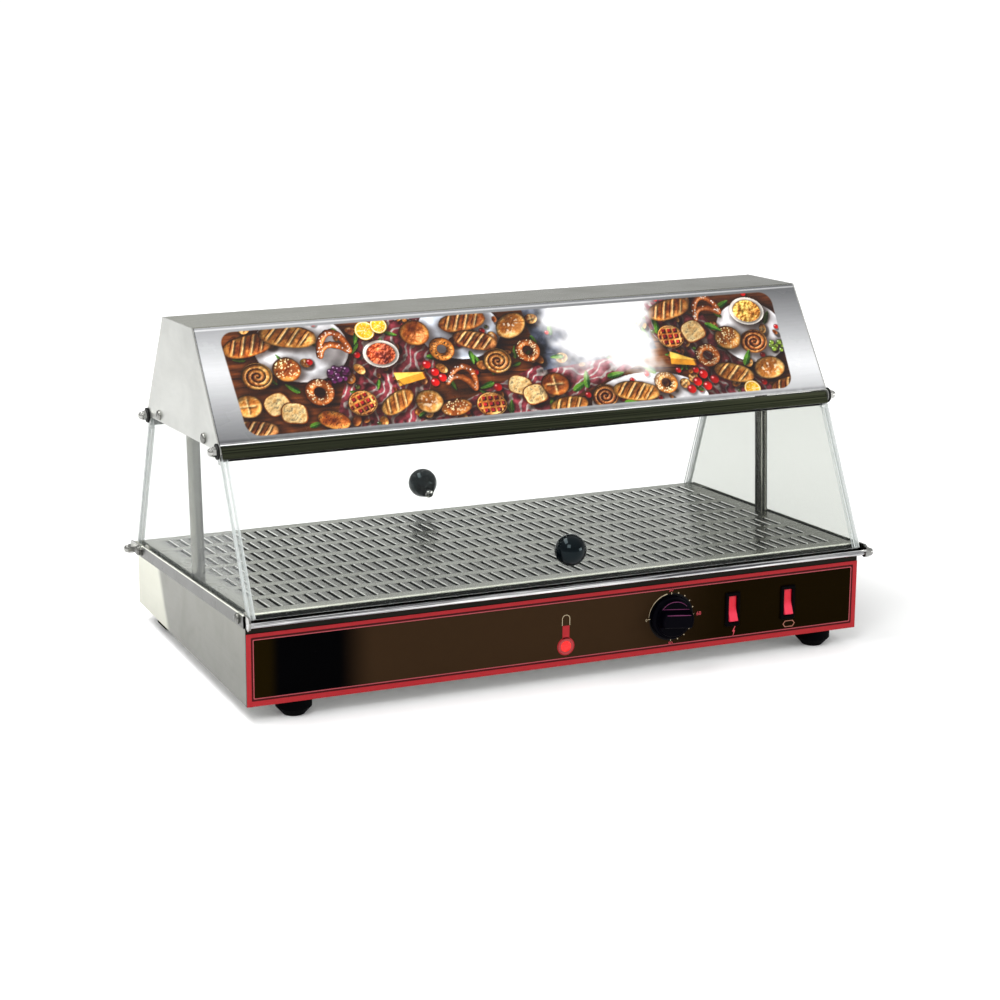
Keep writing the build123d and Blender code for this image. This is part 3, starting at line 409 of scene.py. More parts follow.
rn = red.noise(red.coord((260, 260, 120)), 1.0, 3.0, 0.6)
rx, ry, rz = red.xyz(red.tc.outputs["Object"])
# painted highlight: the lower part of the rockers is paler pink, and the glow of their lamps follows it
painted_light_by_height = red.math("MULTIPLY_ADD", rn, 0.35, red.remap(rz, 0.0445, 0.0525, 0.72, 0.0, True), clamp=True)
red.set("Base Color", red.mix(painted_light_by_height, (0.46, 0.001, 0.012), (0.60, 0.030, 0.064)))
red.set("Roughness", red.math("MULTIPLY_ADD", rn, 0.10, 0.20))
red.set("Specular IOR Level", 0.25)
red.set("Emission Color", red.mix(painted_light_by_height, (0.60, 0.003, 0.016), (0.80, 0.045, 0.090)))
red.set("Emission Strength", 0.12)
red.set("Normal", red.bump(red.noise(red.coord((1300,) * 3)), 0.15, 0.00002, red.bevel(0.0005)))
give(red.m, "heat_switch_rocker", "light_switch_rocker")
lens = Mat("pilot_lens")
lv = lens.voronoi(lens.coord((620, 620, 620)), 1.0)
lens.set("Base Color", lens.mix(lv, (0.90, 0.03, 0.03), (0.60, 0.005, 0.008)))
lens.set("Roughness", lens.math("MULTIPLY_ADD", lv, 0.15, 0.14))
lens.set("Emission Color", (1.0, 0.04, 0.03))
lens.set("Emission Strength", 0.22)
lens.set("Specular IOR Level", 0.2)
lens.set("Normal", lens.bump(lv, 0.35, 0.0003))
give(lens.m, "indicator_lens")
give(plastic("lamp_socket", (0.72, 0.70, 0.64), 0.5, 500), "lamp_holders", "terminal_block")
give(plastic("opal_sheet", (0.86, 0.86, 0.82), 0.45, 600, Emission_Color=(1.0, 0.97, 0.88, 1.0), Emission_Strength=0.15), "lamp_diffuser")
give(plastic("lamp_glass", (0.85, 0.85, 0.82), 0.25, 500), "lamp_tube")
# painted shade: the pane screws get a darker copy of the polished fittings
give(polished("screw_heads_painted_dark", (0.30, 0.30, 0.28), 0.22), "pane_screws")
give(polished("reflector_sheet", (0.80, 0.81, 0.82), 0.16), "lamp_reflector")
give(polished("tray_sheet", (0.34, 0.34, 0.33), 0.3), "reflector_tray")
give(polished("element_sheath", (0.20, 0.17, 0.15), 0.38), "heating_element")
give(polished("copper_bulb", (0.72, 0.40, 0.26), 0.22), "thermostat_bulb")

over = Mat("control_overlay")
ov = over.coord()
ox, oy, oz = over.xyz(ov)
cloud = over.noise(over.coord((9, 9, 14)), 1.0, 3.0, 0.6)
brown, black = srgb(47, 33, 20), srgb(17, 10, 1)
# painted reflection: brown in the middle, fading to near black towards the right and at the left end; the specular is
# nearly off
side = over.remap(ox, 0.045, 0.165, 0.0, 1.0, True)
col = over.mix(side, brown, black)
left = over.remap(ox, -0.216, -0.180, 1.0, 0.0, True)
col = over.mix(left, col, (0.0004, 0.0004, 0.0006))
col = over.mix(over.remap(ox, -0.280, -0.268, 1.0, 0.0, True), col, srgb(20, 13, 1))
col = over.mix(over.math("MULTIPLY_ADD", cloud, 0.5, -0.1, clamp=True), col, over.mix(0.25, col, (0.0, 0.0, 0.0)))
over.set("Base Color", col)
over.set("Specular IOR Level", 0.006)
orough = over.noise(over.coord((40, 40, 40)), 1.0, 4.0, 0.6)
over.set("Roughness", over.math("MULTIPLY_ADD", orough, 0.06, 0.12))
over.set("Normal", over.bump(over.noise(over.coord((1100,) * 3)), 0.05, 0.00002))
give(over.m, "control_overlay")

# ---------------------------------------------------------------- printed marks of the control panel
UP_XZ = Matrix(((1, 0, 0, 0), (0, 0, -1, 0), (0, 1, 0, 0), (0, 0, 0, 1)))      # flat artwork to the upright panel


def ink(name, col, rough=0.35, glow=0.0):
    m = Mat(name)
    n = m.noise(m.coord((500, 500, 500)), 1.0, 3.0, 0.6)
    m.set("Base Color", m.mix(n, tuple(c * 0.88 for c in col), tuple(min(1.0, c * 1.08) for c in col)))
    m.set("Roughness", m.math("MULTIPLY_ADD", n, 0.12, rough - 0.06))
    m.set("Specular IOR Level", 0.08)
    m.set("Normal", m.bump(n, 0.1, 0.00002))
    return m.m


red_ink = ink("red_frame_ink", srgb(152, 35, 40))
gap_ink = ink("dark_red_gap_ink", srgb(58, 6, 9))
line_ink = ink("thin_line_ink", srgb(158, 70, 76))
pale_ink = ink("pale_mark_ink", srgb(178, 164, 136))
rose_ink = ink("rose_mark_ink", srgb(180, 66, 76))


def circle(cx, cz, r, n=48, a0=0.0, a1=2 * math.pi):
    return [(cx + r * math.cos(a0 + (a1 - a0) * k / n), cz + r * math.sin(a0 + (a1 - a0) * k / n)) for k in range(n)]


def rounded(x0, x1, z0, z1, r, n=8):
    pts = []
    for cx, cz, a in ((x1 - r, z1 - r, 0), (x0 + r, z1 - r, 90), (x0 + r, z0 + r, 180), (x1 - r, z0 + r, 270)):
        for k in range(n + 1):
            t = math.radians(a + 90 * k / n)
            pts.append((cx + r * math.cos(t), cz + r * math.sin(t)))
    return pts


def flat(name, loops, material, lift=0.0, thick=0.06, at=None, bevel=0.0):
    """Thin flat artwork from closed loops in the x-z plane of the panel, mm."""
    cu = bpy.data.curves.new(name, "CURVE")
    cu.dimensions = "2D"
    cu.fill_mode = "BOTH"
    cu.extrude = thick / 2
    for loop in loops:
        sp = cu.splines.new("POLY")
        sp.points.add(len(loop) - 1)
        for p, (x, z) in zip(sp.points, loop):
            p.co = (x, z, 0, 1)
        sp.use_cyclic_u = True
    return lay(name, cu, material, lift, thick, at)


def lay(name, cu, material, lift, thick, at=None):
    tmp = bpy.data.objects.new(name + "_c", cu)
    bpy.context.scene.collection.objects.link(tmp)
    bpy.context.view_layer.update()
    me = bpy.data.meshes.new_from_object(tmp.evaluated_get(bpy.context.evaluated_depsgraph_get()))
    bpy.data.objects.remove(tmp)
    bpy.data.curves.remove(cu)
    me.name = name
    m = (BASE @ Matrix.Translation((0, FACE - lift - thick / 2, 0)) @ UP_XZ) if at is None else at
    me.transform(m)
    o = bpy.data.objects.new(name, me)
    bpy.context.scene.collection.objects.link(o)
    me.materials.clear()
    me.materials.append(material)
    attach(o, "cabinet")
    return o


def text(s, x, z, size):
    cu = bpy.data.curves.new("num", "FONT")
    cu.body = s
    cu.size = size
    cu.align_x, cu.align_y = "CENTER", "CENTER"
    cu.extrude = 0.03
    cu.resolution_u = 3
    tmp = bpy.data.objects.new("num", cu)
    bpy.context.scene.collection.objects.link(tmp)
    bpy.context.view_layer.update()
    me = bpy.data.meshes.new_from_object(tmp.evaluated_get(bpy.context.evaluated_depsgraph_get()))
    bpy.data.objects.remove(tmp)
    bpy.data.curves.remove(cu)
    me.transform(BASE @ Matrix.Translation((x, FACE - 0.03, z)) @ UP_XZ)
    return me


def join(name, meshes, material, body="cabinet"):
    bm = bmesh.new()
    for me in meshes:
        bm.from_mesh(me)
        bpy.data.meshes.remove(me)
    out = bpy.data.meshes.new(name)
    bm.to_mesh(out)
    bm.free()
    o = bpy.data.objects.new(name, out)
    bpy.context.scene.collection.objects.link(o)
    out.materials.clear()
    out.materials.append(material)
    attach(o, body)
    return o


Z0 = 16.0
flat("panel_red_frame", [rounded(-298.5, 298.5, Z0 + 0.02, Z0 + 65.08, 0.6, 3), rounded(-294.2, 294.2, Z0 + 4.8, Z0 + 61.8, 1.0, 3)], red_ink)
flat("panel_gap_line", [rounded(-294.15, 294.15, Z0 + 4.85, Z0 + 61.75, 1.0, 3), rounded(-292.6, 292.6, Z0 + 6.5, Z0 + 60.0, 1.0, 3)], gap_ink)
flat("panel_inner_line", [rounded(-292.55, 292.55, Z0 + 6.55, Z0 + 59.95, 1.0, 3), rounded(-291.75, 291.75, Z0 + 7.35, Z0 + 59.15, 0.9, 3)], line_ink)

DX, DZ = 105.0, Z0 + 33.2
dots = []
for k in (18, 36, 54, 72, 108, 126, 144, 162):
    a = math.radians(90 - k)
    dots.append(circle(DX + 22.8 * math.cos(a), DZ + 22.8 * math.sin(a), 0.58, 14))
for k in (0, 90, 180, 270):
    a = math.radians(90 - k)
    e, s = Vector((math.cos(a), math.sin(a))), Vector((-math.sin(a), math.cos(a)))
    c = Vector((DX, DZ))
    q = [c + e * 21.2 - s * 0.32, c + e * 23.2 - s * 0.32, c + e * 23.2 + s * 0.32, c + e * 21.2 + s * 0.32]
    dots.append([(p.x, p.y) for p in q])
flat("dial_ground", [circle(DX, DZ, 22.2, 72), circle(DX, DZ, 18.0, 72)], ink("dial_ground_ink", (0.0006, 0.0005, 0.0012)), 0.0, 0.05)
flat("dial_dots", dots, pale_ink)
arc_o, arc_i = [], []
for k in range(41):
    a = math.radians(176 - 75 * k / 40)
    arc_o.append((DX + 22.8 * math.cos(a), DZ + 22.8 * math.sin(a)))
    arc_i.append((DX + (22.8 - 0.25 - 0.5 * k / 40) * math.cos(a), DZ + (22.8 - 0.25 - 0.5 * k / 40) * math.sin(a)))
flat("dial_arc", [arc_o + arc_i[::-1]], pale_ink)
join("dial_number_zero", [text("0", DX - 24.9, DZ - 0.6, 3.8)], pale_ink)
join("dial_numbers", [text("30", DX - 0.5, DZ + 25.6, 4.6), text("60", DX + 28.2, DZ - 0.2, 5.0), text("90", DX, DZ - 25.5, 4.6)], rose_ink)

# painted plum highlights along the grip's edges and rim, they turn with the knob
plum = Mat("knob_edge_painted_highlight")
pn = plum.noise(plum.coord((420, 420, 420)), 1.0, 4.0, 0.7)
plum.set("Base Color", plum.mix(pn, srgb(74, 28, 62), srgb(136, 66, 108)))
plum.set("Roughness", plum.math("MULTIPLY_ADD", pn, 0.2, 0.35))
plum.set("Specular IOR Level", 0.1)
DIAL = BASE @ Matrix.Translation((DX, FACE, DZ)) @ Matrix.Rotation(math.radians(5.5), 4, "Y") @ Matrix.Rotation(math.radians(90), 4, "X")


def strip_line(pts, width, z0):
    """Thin raised line through points (x, y) in the dial's own plane, at height z0."""
    bm = bmesh.new()
    rows = []
    for k, (x, y) in enumerate(pts):
        a, b = pts[max(k - 1, 0)], pts[min(k + 1, len(pts) - 1)]
        t = Vector((b[0] - a[0], b[1] - a[1])).normalized()
        n, w = Vector((-t.y, t.x)), width * (0.55 + 0.45 * math.sin(math.pi * (k + 0.5) / len(pts)))
        rows.append([bm.verts.new((x + n.x * o, y + n.y * o, z0 + h)) for o, h in ((-w / 2, -0.10), (-w / 2, 0.06), (w / 2, 0.06), (w / 2, -0.10))])
    for r, q in zip(rows, rows[1:]):
        for j in range(4):
            bm.faces.new((r[j], r[(j + 1) % 4], q[(j + 1) % 4], q[j]))
    bm.faces.new(rows[0][::-1])
    bm.faces.new(rows[-1])
    bmesh.ops.recalc_face_normals(bm, faces=bm.faces)
    me = bpy.data.meshes.new("line")
    bm.to_mesh(me)
    bm.free()
    me.transform(DIAL)
    return me


highlight_lines = [strip_line([(-13.6 + 27.2 * k / 24, 8.95) for k in range(25)], 0.55, 7.55),
        strip_line([(-12.6 + 24.0 * k / 24, 5.75) for k in range(25)], 0.60, 16.42),
        strip_line([(16.0 * math.cos(math.radians(a)), 16.0 * math.sin(math.radians(a))) for a in range(48, 152, 4)], 0.45, 7.55)]
join("thermostat_knob_painted_highlights", highlight_lines, plum.m, "thermostat_dial")

# thermometer mark: a red stem under an open outline, above the pilot lamp
LZ_ = Z0 + 18.1
flat("thermometer_stem", [rounded(-3.4, 3.4, LZ_ + 5.5, Z0 + 37.3, 0.4, 2)], red_ink)
ring = circle(0, LZ_, 8.4, 64)
flat("thermometer_bulb_ring", [ring, circle(0, LZ_, 7.25, 64)], red_ink)
bow = [(-3.9, Z0 + 37.6), (-3.9, Z0 + 43.6)] + [(3.9 * math.cos(math.radians(180 - k)), Z0 + 43.6 + 3.9 * math.sin(math.radians(180 - k))) for k in range(10, 180, 10)] + [(3.9, Z0 + 43.6), (3.9, Z0 + 37.6)]
bow_i = [(3.4, Z0 + 37.6), (3.4, Z0 + 43.6)] + [(3.4 * math.cos(math.radians(k)), Z0 + 43.6 + 3.4 * math.sin(math.radians(k))) for k in range(10, 180, 10)] + [(-3.4, Z0 + 43.6), (-3.4, Z0 + 37.6)]
flat("thermometer_outline", [bow + bow_i], pale_ink)

# switch symbols: a bolt for heat, a long hexagon for the lamp
bx, bz = 169.8, Z0 + 11.2
flat("heat_symbol", [[(bx + 0.9, bz + 5.2), (bx - 1.5, bz + 0.2), (bx - 0.1, bz + 0.2), (bx - 0.9, bz - 5.0), (bx + 1.6, bz + 1.3), (bx + 0.2, bz + 1.3), (bx + 1.9, bz + 5.2)]], rose_ink)
hx, hz = 227.6, Z0 + 12.1
hexo = [(hx - 6.4, hz), (hx - 4.2, hz + 3.1), (hx + 4.2, hz + 3.1), (hx + 6.4, hz), (hx + 4.2, hz - 3.1), (hx - 4.2, hz - 3.1)]
hexi = [(hx - 5.5, hz), (hx - 3.7, hz + 2.4), (hx + 3.7, hz + 2.4), (hx + 5.5, hz), (hx + 3.7, hz - 2.4), (hx - 3.7, hz - 2.4)]
flat("lamp_symbol", [hexo, hexi], ink("lamp_symbol_ink", srgb(150, 100, 84)))

# ---------------------------------------------------------------- raised lips along the deck's slots, their near-white tint a painted highlight
bm = bmesh.new()
LIP_X, LIP_Z = (1.75, 2.05, 2.55, 3.10, 3.55), (-0.05, 0.36, 0.50, 0.40, -0.05)
for kx in range(51):
    for ky in range(7):
        sx_, sy_ = (kx - 25) * 10.94, (ky - 3) * 45.0
        rows = []
        for y_, f in ((-15.6, 0.0), (-15.1, 0.75), (-13.5, 1.0), (0.0, 1.0), (13.5, 1.0), (15.1, 0.75), (15.6, 0.0)):
            rows.append([bm.verts.new((sx_ + 2.65 + (a - 2.65) * (0.55 + 0.45 * f), sy_ + y_, -0.05 + (b + 0.05) * f)) for a, b in zip(LIP_X, LIP_Z)])
        for r, q in zip(rows[1:-1], rows[2:-1]):
            for j in range(4):
                bm.faces.new((r[j], r[j + 1], q[j + 1], q[j]))
            bm.faces.new((r[4], r[0], q[0], q[4]))
        bm.faces.new(rows[1][::-1])
        bm.faces.new(rows[-2])
        for v in rows[0] + rows[-1]:
            bm.verts.remove(v)
bmesh.ops.recalc_face_normals(bm, faces=bm.faces)
lips = bpy.data.meshes.new("deck_slot_lips")
bm.to_mesh(lips)
bm.free()
lips.transform(LEAN)
lip_o = bpy.data.objects.new("deck_slot_lips", lips)
bpy.context.scene.collection.objects.link(lip_o)
give(steel("slot_lip_painted_highlight", (0.98, 0.985, 0.95), (300, 300, 300), 0.42, edge=0.0), lip_o)
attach(lip_o, "cabinet")

# ---------------------------------------------------------------- printed facade: a generic bakery pattern
SLANT = math.hypot(63.4, 93.6)
STEP = 0.6
nu, nv = int(round(594.6 / STEP)) + 1, int(round((SLANT - 0.9) / STEP)) + 1
uu = np.linspace(-297.3, 297.3, nu)
vv = np.linspace(0.2, SLANT - 0.7, nv)
U, V = np.meshgrid(uu, vv)
DU, DV = uu[1] - uu[0], vv[1] - vv[0]
art = np.zeros((nv, nu, 3))


def value_noise(u, v, cell, seed, octaves=4, gain=0.5):
    """Smooth noise 0..1 of given cell size, the same each run."""
    total, amp, norm = np.zeros_like(u), 1.0, 0.0
    for o in range(octaves):
        g = np.random.default_rng(seed * 17 + o).random((256, 256))
        x, y = u / cell * 2 ** o + 31.7 * o, v / cell * 2 ** o + 11.3 * o
        xi, yi = np.floor(x).astype(int), np.floor(y).astype(int)
        fx, fy = x - xi, y - yi
        fx, fy = fx * fx * (3 - 2 * fx), fy * fy * (3 - 2 * fy)
        a, b = g[yi % 256, xi % 256], g[yi % 256, (xi + 1) % 256]
        c, e = g[(yi + 1) % 256, xi % 256], g[(yi + 1) % 256, (xi + 1) % 256]
        total += amp * ((a * (1 - fx) + b * fx) * (1 - fy) + (c * (1 - fx) + e * fx) * fy)
        norm += amp
        amp *= gain
    return total / norm


FINE, MID, WIDE = (value_noise(U, V, c, s, o) - 0.5 for c, s, o in ((2.2, 3, 3), (6.0, 5, 4), (16.0, 7, 3)))


def smooth(a, b, x):
    t = np.clip((x - a) / (b - a), 0, 1)
    return t * t * (3 - 2 * t)


class Patch:
    """A window of the picture around one motif, with local axes turned by ang."""

    def __init__(self, cx, cy, reach, ang=0.0, seed=0):
        j0, j1 = np.searchsorted(uu, (cx - reach, cx + reach))
        i0, i1 = np.searchsorted(vv, (cy - reach, cy + reach))
        self.s = (slice(max(i0, 0), max(i1, 1)), slice(max(j0, 0), max(j1, 1)))
        a = math.radians(ang)
        dx, dy = U[self.s] - cx, V[self.s] - cy
        self.x, self.y = dx * math.cos(a) + dy * math.sin(a), -dx * math.sin(a) + dy * math.cos(a)
        k = 37 * seed
        roll = lambda f, m: np.roll(f, (k * m, k * (m + 2)), (0, 1))[self.s]
        self.fine, self.mid, self.wide = roll(FINE, 1), roll(MID, 3), roll(WIDE, 5)

    def put(self, mask, rgb):
        mask = np.clip(mask, 0, 1)[..., None]
        art[self.s] = art[self.s] * (1 - mask) + np.clip(rgb, 0, 255) * mask

    def shade(self, z, spec=0.0, power=24.0, amb=0.42):
        if min(z.shape) < 2:
            return np.ones_like(z), np.zeros_like(z)
        gy, gx = np.gradient(z, DV, DU)
        n = np.sqrt(gx * gx + gy * gy + 1)
        lam = np.clip((0.46 * gx - 0.50 * gy) * -1 + 0.73, 0, None) / n
        half = np.clip((0.25 * -gx + 0.28 * gy * 1.0 * -1 * -1 + 0.93) / n, 0, 1)
        return amb + (1.12 - amb) * np.clip(lam, 0, 1.25), spec * half ** power


def lerp(a, b, t):
    t = np.clip(t, 0, 1)[..., None]
    return np.array(a, float) * (1 - t) + np.array(b, float) * t


def cast(cx, cy, a, b, ang, k=0.62, dx=1.8, dy=-2.4):
    p = Patch(cx + dx, cy + dy, max(a, b) * 1.5 + 3, ang)
    q = np.hypot(p.x / (a * 1.10), p.y / (b * 1.12))
    p.put(k * smooth(1.35, 0.75, q), (26, 14, 9))


CRUSTS = (((92, 40, 14), (178, 98, 40), (226, 168, 92)), ((110, 56, 20), (196, 124, 52), (240, 196, 122)),
          ((74, 34, 16), (150, 84, 38), (214, 160, 98)), ((126, 66, 22), (208, 140, 66), (246, 212, 150)))


def bun(cx, cy, a, b, ang, seed, crust=0, top="plain", power=2.0):
    """A baked round or oval: dark top, paler flanks, with slashes, a cross, seeds, flour or glaze."""
    cast(cx, cy, a, b, ang)
    p = Patch(cx, cy, max(a, b) * 1.15, ang, seed)
    q = (np.abs(p.x / a) ** power + np.abs(p.y / b) ** power) ** (1 / power) + 0.10 * p.mid
    h = np.sqrt(np.clip(1 - q * q, 0, 1))
    z = h * min(a, b) * 0.62 + p.fine * 0.9 + p.mid * 1.6
    lo, md, hi = CRUSTS[crust]
    t = 0.45 + 0.9 * (q - 0.55) + 1.1 * p.mid + 0.5 * p.fine
    base = lerp(lo, md, 0.55 + 1.2 * (p.mid + 0.6 * (q - 0.4)))
    base = base * (1 - 0.6 * smooth(0.45, 0.95, t)[..., None]) + np.array(hi, float) * 0.6 * smooth(0.45, 0.95, t)[..., None]
    pale = np.zeros_like(q)
    if top == "slash":
        k = max(3, int(a / 5.5))
        for j in range(k):
            c = ((j + 0.5) / k - 0.5) * 1.55 * a
            d = (p.x - c) - 0.62 * p.y + 1.6 * p.wide
            w = 1.25 + 0.5 * (1 - abs(c) / a)
            s = np.exp(-(d / w) ** 2) * smooth(0.95, 0.62, q)
            z = z - 1.7 * s + 1.5 * np.exp(-((d + 2.0) / 0.9) ** 2) * smooth(0.95, 0.6, q)
            pale = np.maximum(pale, s)
    elif top == "cross":
        for d, s in ((p.x, p.y), (p.y, p.x)):
            c = np.exp(-((d + 1.5 * p.wide) / 1.35) ** 2) * smooth(0.86, 0.5, np.abs(s) / min(a, b))
            z = z - 1.4 * c
            pale = np.maximum(pale, c)
    elif top == "swirl":
        rad, th = np.hypot(p.x / a, p.y / b), np.arctan2(p.y / b, p.x / a)
        ph = np.mod(rad * 3.1 - th / (2 * math.pi), 1.0)
        s = np.exp(-((ph - 0.5) / 0.16) ** 2) * smooth(1.0, 0.85, rad)
        z = z - 2.0 * s
        base = base * (1 - 0.55 * s[..., None])
        pale = np.maximum(pale, 0.45 * np.exp(-((ph - 0.85) / 0.10) ** 2) * smooth(0.95, 0.8, rad))
    elif top == "lattice":
        g1, g2 = np.abs(np.mod(p.x + 60, 6.0) - 3.0), np.abs(np.mod(p.y + 60, 6.0) - 3.0)
        strip = np.maximum(smooth(1.55, 0.9, g1), smooth(1.55, 0.9, g2)) * smooth(0.86, 0.80, q)
        inner = smooth(0.86, 0.80, q)
        jam = lerp((92, 8, 14), (176, 26, 30), 0.5 + 1.6 * p.mid)
        base = base * (1 - (inner * (1 - strip))[..., None]) + jam * (inner * (1 - strip))[..., None]
        z = h * 1.5 + 2.0 * strip + 2.6 * smooth(0.80, 0.90, q) * smooth(1.0, 0.94, q) + p.fine * 0.6
    base = base * (1 - 0.86 * pale[..., None]) + np.array((238, 204, 146)) * (0.9 + 0.5 * p.fine[..., None]) * 0.86 * pale[..., None]
    sh, sp = p.shade(z, 70 if top in ("glaze", "swirl", "lattice") else 26, 18)
    rgb = base * sh[..., None] + sp[..., None]
    rgb = rgb * (1 - 0.50 * smooth(0.80, 1.0, q))[..., None]
    m = smooth(1.0, 1.0 - 0.9 / min(a, b), q)
    p.put(m, rgb)
    if top == "flour":
        p.put(0.75 * smooth(0.02, 0.16, p.fine + 0.5 * p.mid) * smooth(0.85, 0.3, q), (238, 226, 206))
    if top in ("seed", "poppy"):
        g = np.random.default_rng(seed + 5)
        col = (242, 226, 180) if top == "seed" else (34, 30, 34)
        for _ in range(int(a * b / 3.4)):
            r_, t_ = math.sqrt(g.random()) * 0.82, g.random() * 6.283
            sx, sy = a * r_ * math.cos(t_), b * r_ * math.sin(t_)
            c_, s_ = math.cos(math.radians(ang)), math.sin(math.radians(ang))
            sd = Patch(cx + sx * c_ - sy * s_, cy + sx * s_ + sy * c_, 2.0, g.random() * 180, 0)
            sd.put(0.9 * smooth(1.0, 0.55, np.hypot(sd.x / (1.05 if top == "seed" else 0.6), sd.y / 0.55)), col)


def ring(cx, cy, r, hole, seed, crust=1, seeds="seed"):
    cast(cx, cy, r, r, 0)
    p = Patch(cx, cy, r * 1.12, 0, seed)
    rad = np.hypot(p.x, p.y * 1.05)
    mid, half = (r + hole) / 2, (r - hole) / 2
    q = np.abs(rad - mid) / half + 0.08 * p.mid
    h = np.sqrt(np.clip(1 - q * q, 0, 1))
    sh, sp = p.shade(h * half * 0.95 + p.fine * 0.7 + p.mid, 60, 20)
    lo, md, hi = CRUSTS[crust]
    rgb = lerp(lo, md, 0.75 + 1.3 * p.mid) * sh[..., None] + sp[..., None]
    rgb = rgb * (1 - 0.5 * smooth(0.75, 1.0, q))[..., None]
    p.put(smooth(1.0, 0.9, q), rgb)
    if seeds:
        g = np.random.default_rng(seed)
        for _ in range(60):
            a, rr = g.random() * 6.283, mid + half * 0.7 * (g.random() * 2 - 1)
            sd = Patch(cx + rr * math.cos(a), cy + rr * math.sin(a), 2.0, g.random() * 180, 0)
            sd.put(0.9 * smooth(1.0, 0.5, np.hypot(sd.x / 1.0, sd.y / 0.5)), (244, 230, 190) if seeds == "seed" else (32, 28, 32))


def tube_path(cx, cy, pts, w, seed, lo, md, spec=70, salt=0):
    """A rope of dough along a polyline."""
    reach = max(math.hypot(x, y) for x, y in pts) + w * 1.6
    cast(cx, cy, reach * 0.8, reach * 0.7, 0, 0.4)
    p = Patch(cx, cy, reach, 0, seed)
    hmax = np.zeros_like(p.x)
    for (x0, y0), (x1, y1) in zip(pts, pts[1:]):
        vx, vy = x1 - x0, y1 - y0
        t = np.clip(((p.x - x0) * vx + (p.y - y0) * vy) / (vx * vx + vy * vy), 0, 1)
        d = np.hypot(p.x - x0 - t * vx, p.y - y0 - t * vy) / w
        hmax = np.maximum(hmax, np.sqrt(np.clip(1 - d * d, 0, 1)))
    sh, sp = p.shade(hmax * w * 0.9 + p.fine * 0.4, spec, 16)
    rgb = lerp(lo, md, 0.6 + 1.2 * p.mid + 0.5 * (1 - hmax)) * sh[..., None] + sp[..., None]
    p.put(smooth(0.05, 0.5, hmax), rgb * (0.55 + 0.45 * smooth(0.1, 0.7, hmax))[..., None])
    g = np.random.default_rng(seed)
    for _ in range(salt):
        k = g.integers(len(pts) - 1)
        f = g.random()
        sx, sy = (pts[k][i] * (1 - f) + pts[k + 1][i] * f for i in (0, 1))
        sd = Patch(cx + sx + (g.random() - 0.5) * w, cy + sy + (g.random() - 0.5) * w, 2, 0, 0)
        sd.put(0.9 * smooth(0.75, 0.4, np.hypot(sd.x, sd.y)), (250, 246, 238))


def pretzel(cx, cy, s, ang, seed):
    pts = []
    for k in range(33):
        t = -math.pi * 0.62 + k / 32 * math.pi * 3.24
        x, y = s * 0.92 * math.sin(t) * (1 + 0.10 * math.cos(2 * t)), s * (0.42 * math.cos(2 * t - 0.3) + 0.34 * math.cos(t))
        a = math.radians(ang)
        pts.append((x * math.cos(a) - y * math.sin(a), x * math.sin(a) + y * math.cos(a)))
    tube_path(cx, cy, pts, s * 0.20, seed, (84, 34, 12), (176, 92, 34), 90, 34)


def grapes(cx, cy, s, seed, lo=(34, 10, 34), hi=(104, 44, 92)):
    g = np.random.default_rng(seed)
    cast(cx, cy, s, s * 0.8, 0, 0.5)
    for k in range(20):
        a, r = g.random() * 6.283, math.sqrt(g.random()) * s * 0.8
        ball(cx + r * math.cos(a), cy + 0.75 * r * math.sin(a), s * (0.24 + 0.05 * g.random()), seed + k, lo, hi)


def ball(cx, cy, r, seed, lo=(96, 4, 10), hi=(206, 30, 26)):
    cast(cx, cy, r, r, 0, 0.45, 0.7, -0.9)
    p = Patch(cx, cy, r * 1.15, 0, seed)
    q = np.hypot(p.x, p.y) / r
    h = np.sqrt(np.clip(1 - q * q, 0, 1))
    sh, _ = p.shade(h * r, 0, 20, 0.30)
    sp = np.exp(-(((p.x + 0.32 * r) / (0.24 * r)) ** 2 + ((p.y - 0.36 * r) / (0.20 * r)) ** 2))
    p.put(smooth(1.0, 1 - 0.8 / r, q), lerp(lo, hi, sh - 0.15) + 190 * sp[..., None] + 26 * smooth(0.7, 1.0, q)[..., None])


def leaf(cx, cy, a, ang, seed, lo=(20, 52, 14), hi=(96, 142, 44)):
    cast(cx, cy, a * 0.8, a * 0.3, ang, 0.4, 0.8, -1.1)
    p = Patch(cx, cy, a * 1.05, ang, seed)
    half = 0.36 * a * np.sqrt(np.clip(1 - (p.x / a) ** 2, 0, 1)) * (1 - 0.35 * p.x / a)
    m = smooth(1.0, 0.80, np.abs(p.y) / np.maximum(half, 0.01)) * (np.abs(p.x) < a)
    v = np.abs(p.y) / np.maximum(half, 0.5)
    t = 0.45 + 0.4 * np.sign(p.y) * np.sqrt(v + 0.01) + 0.9 * p.mid
    rgb = lerp(lo, hi, t)
    rib = np.exp(-(p.y / 0.45) ** 2) + 0.5 * np.exp(-((np.mod(p.x * 0.9 + np.abs(p.y) * 1.1 + 40, 3.0) - 1.5) / 0.35) ** 2)
    p.put(m, rgb + 34 * rib[..., None])


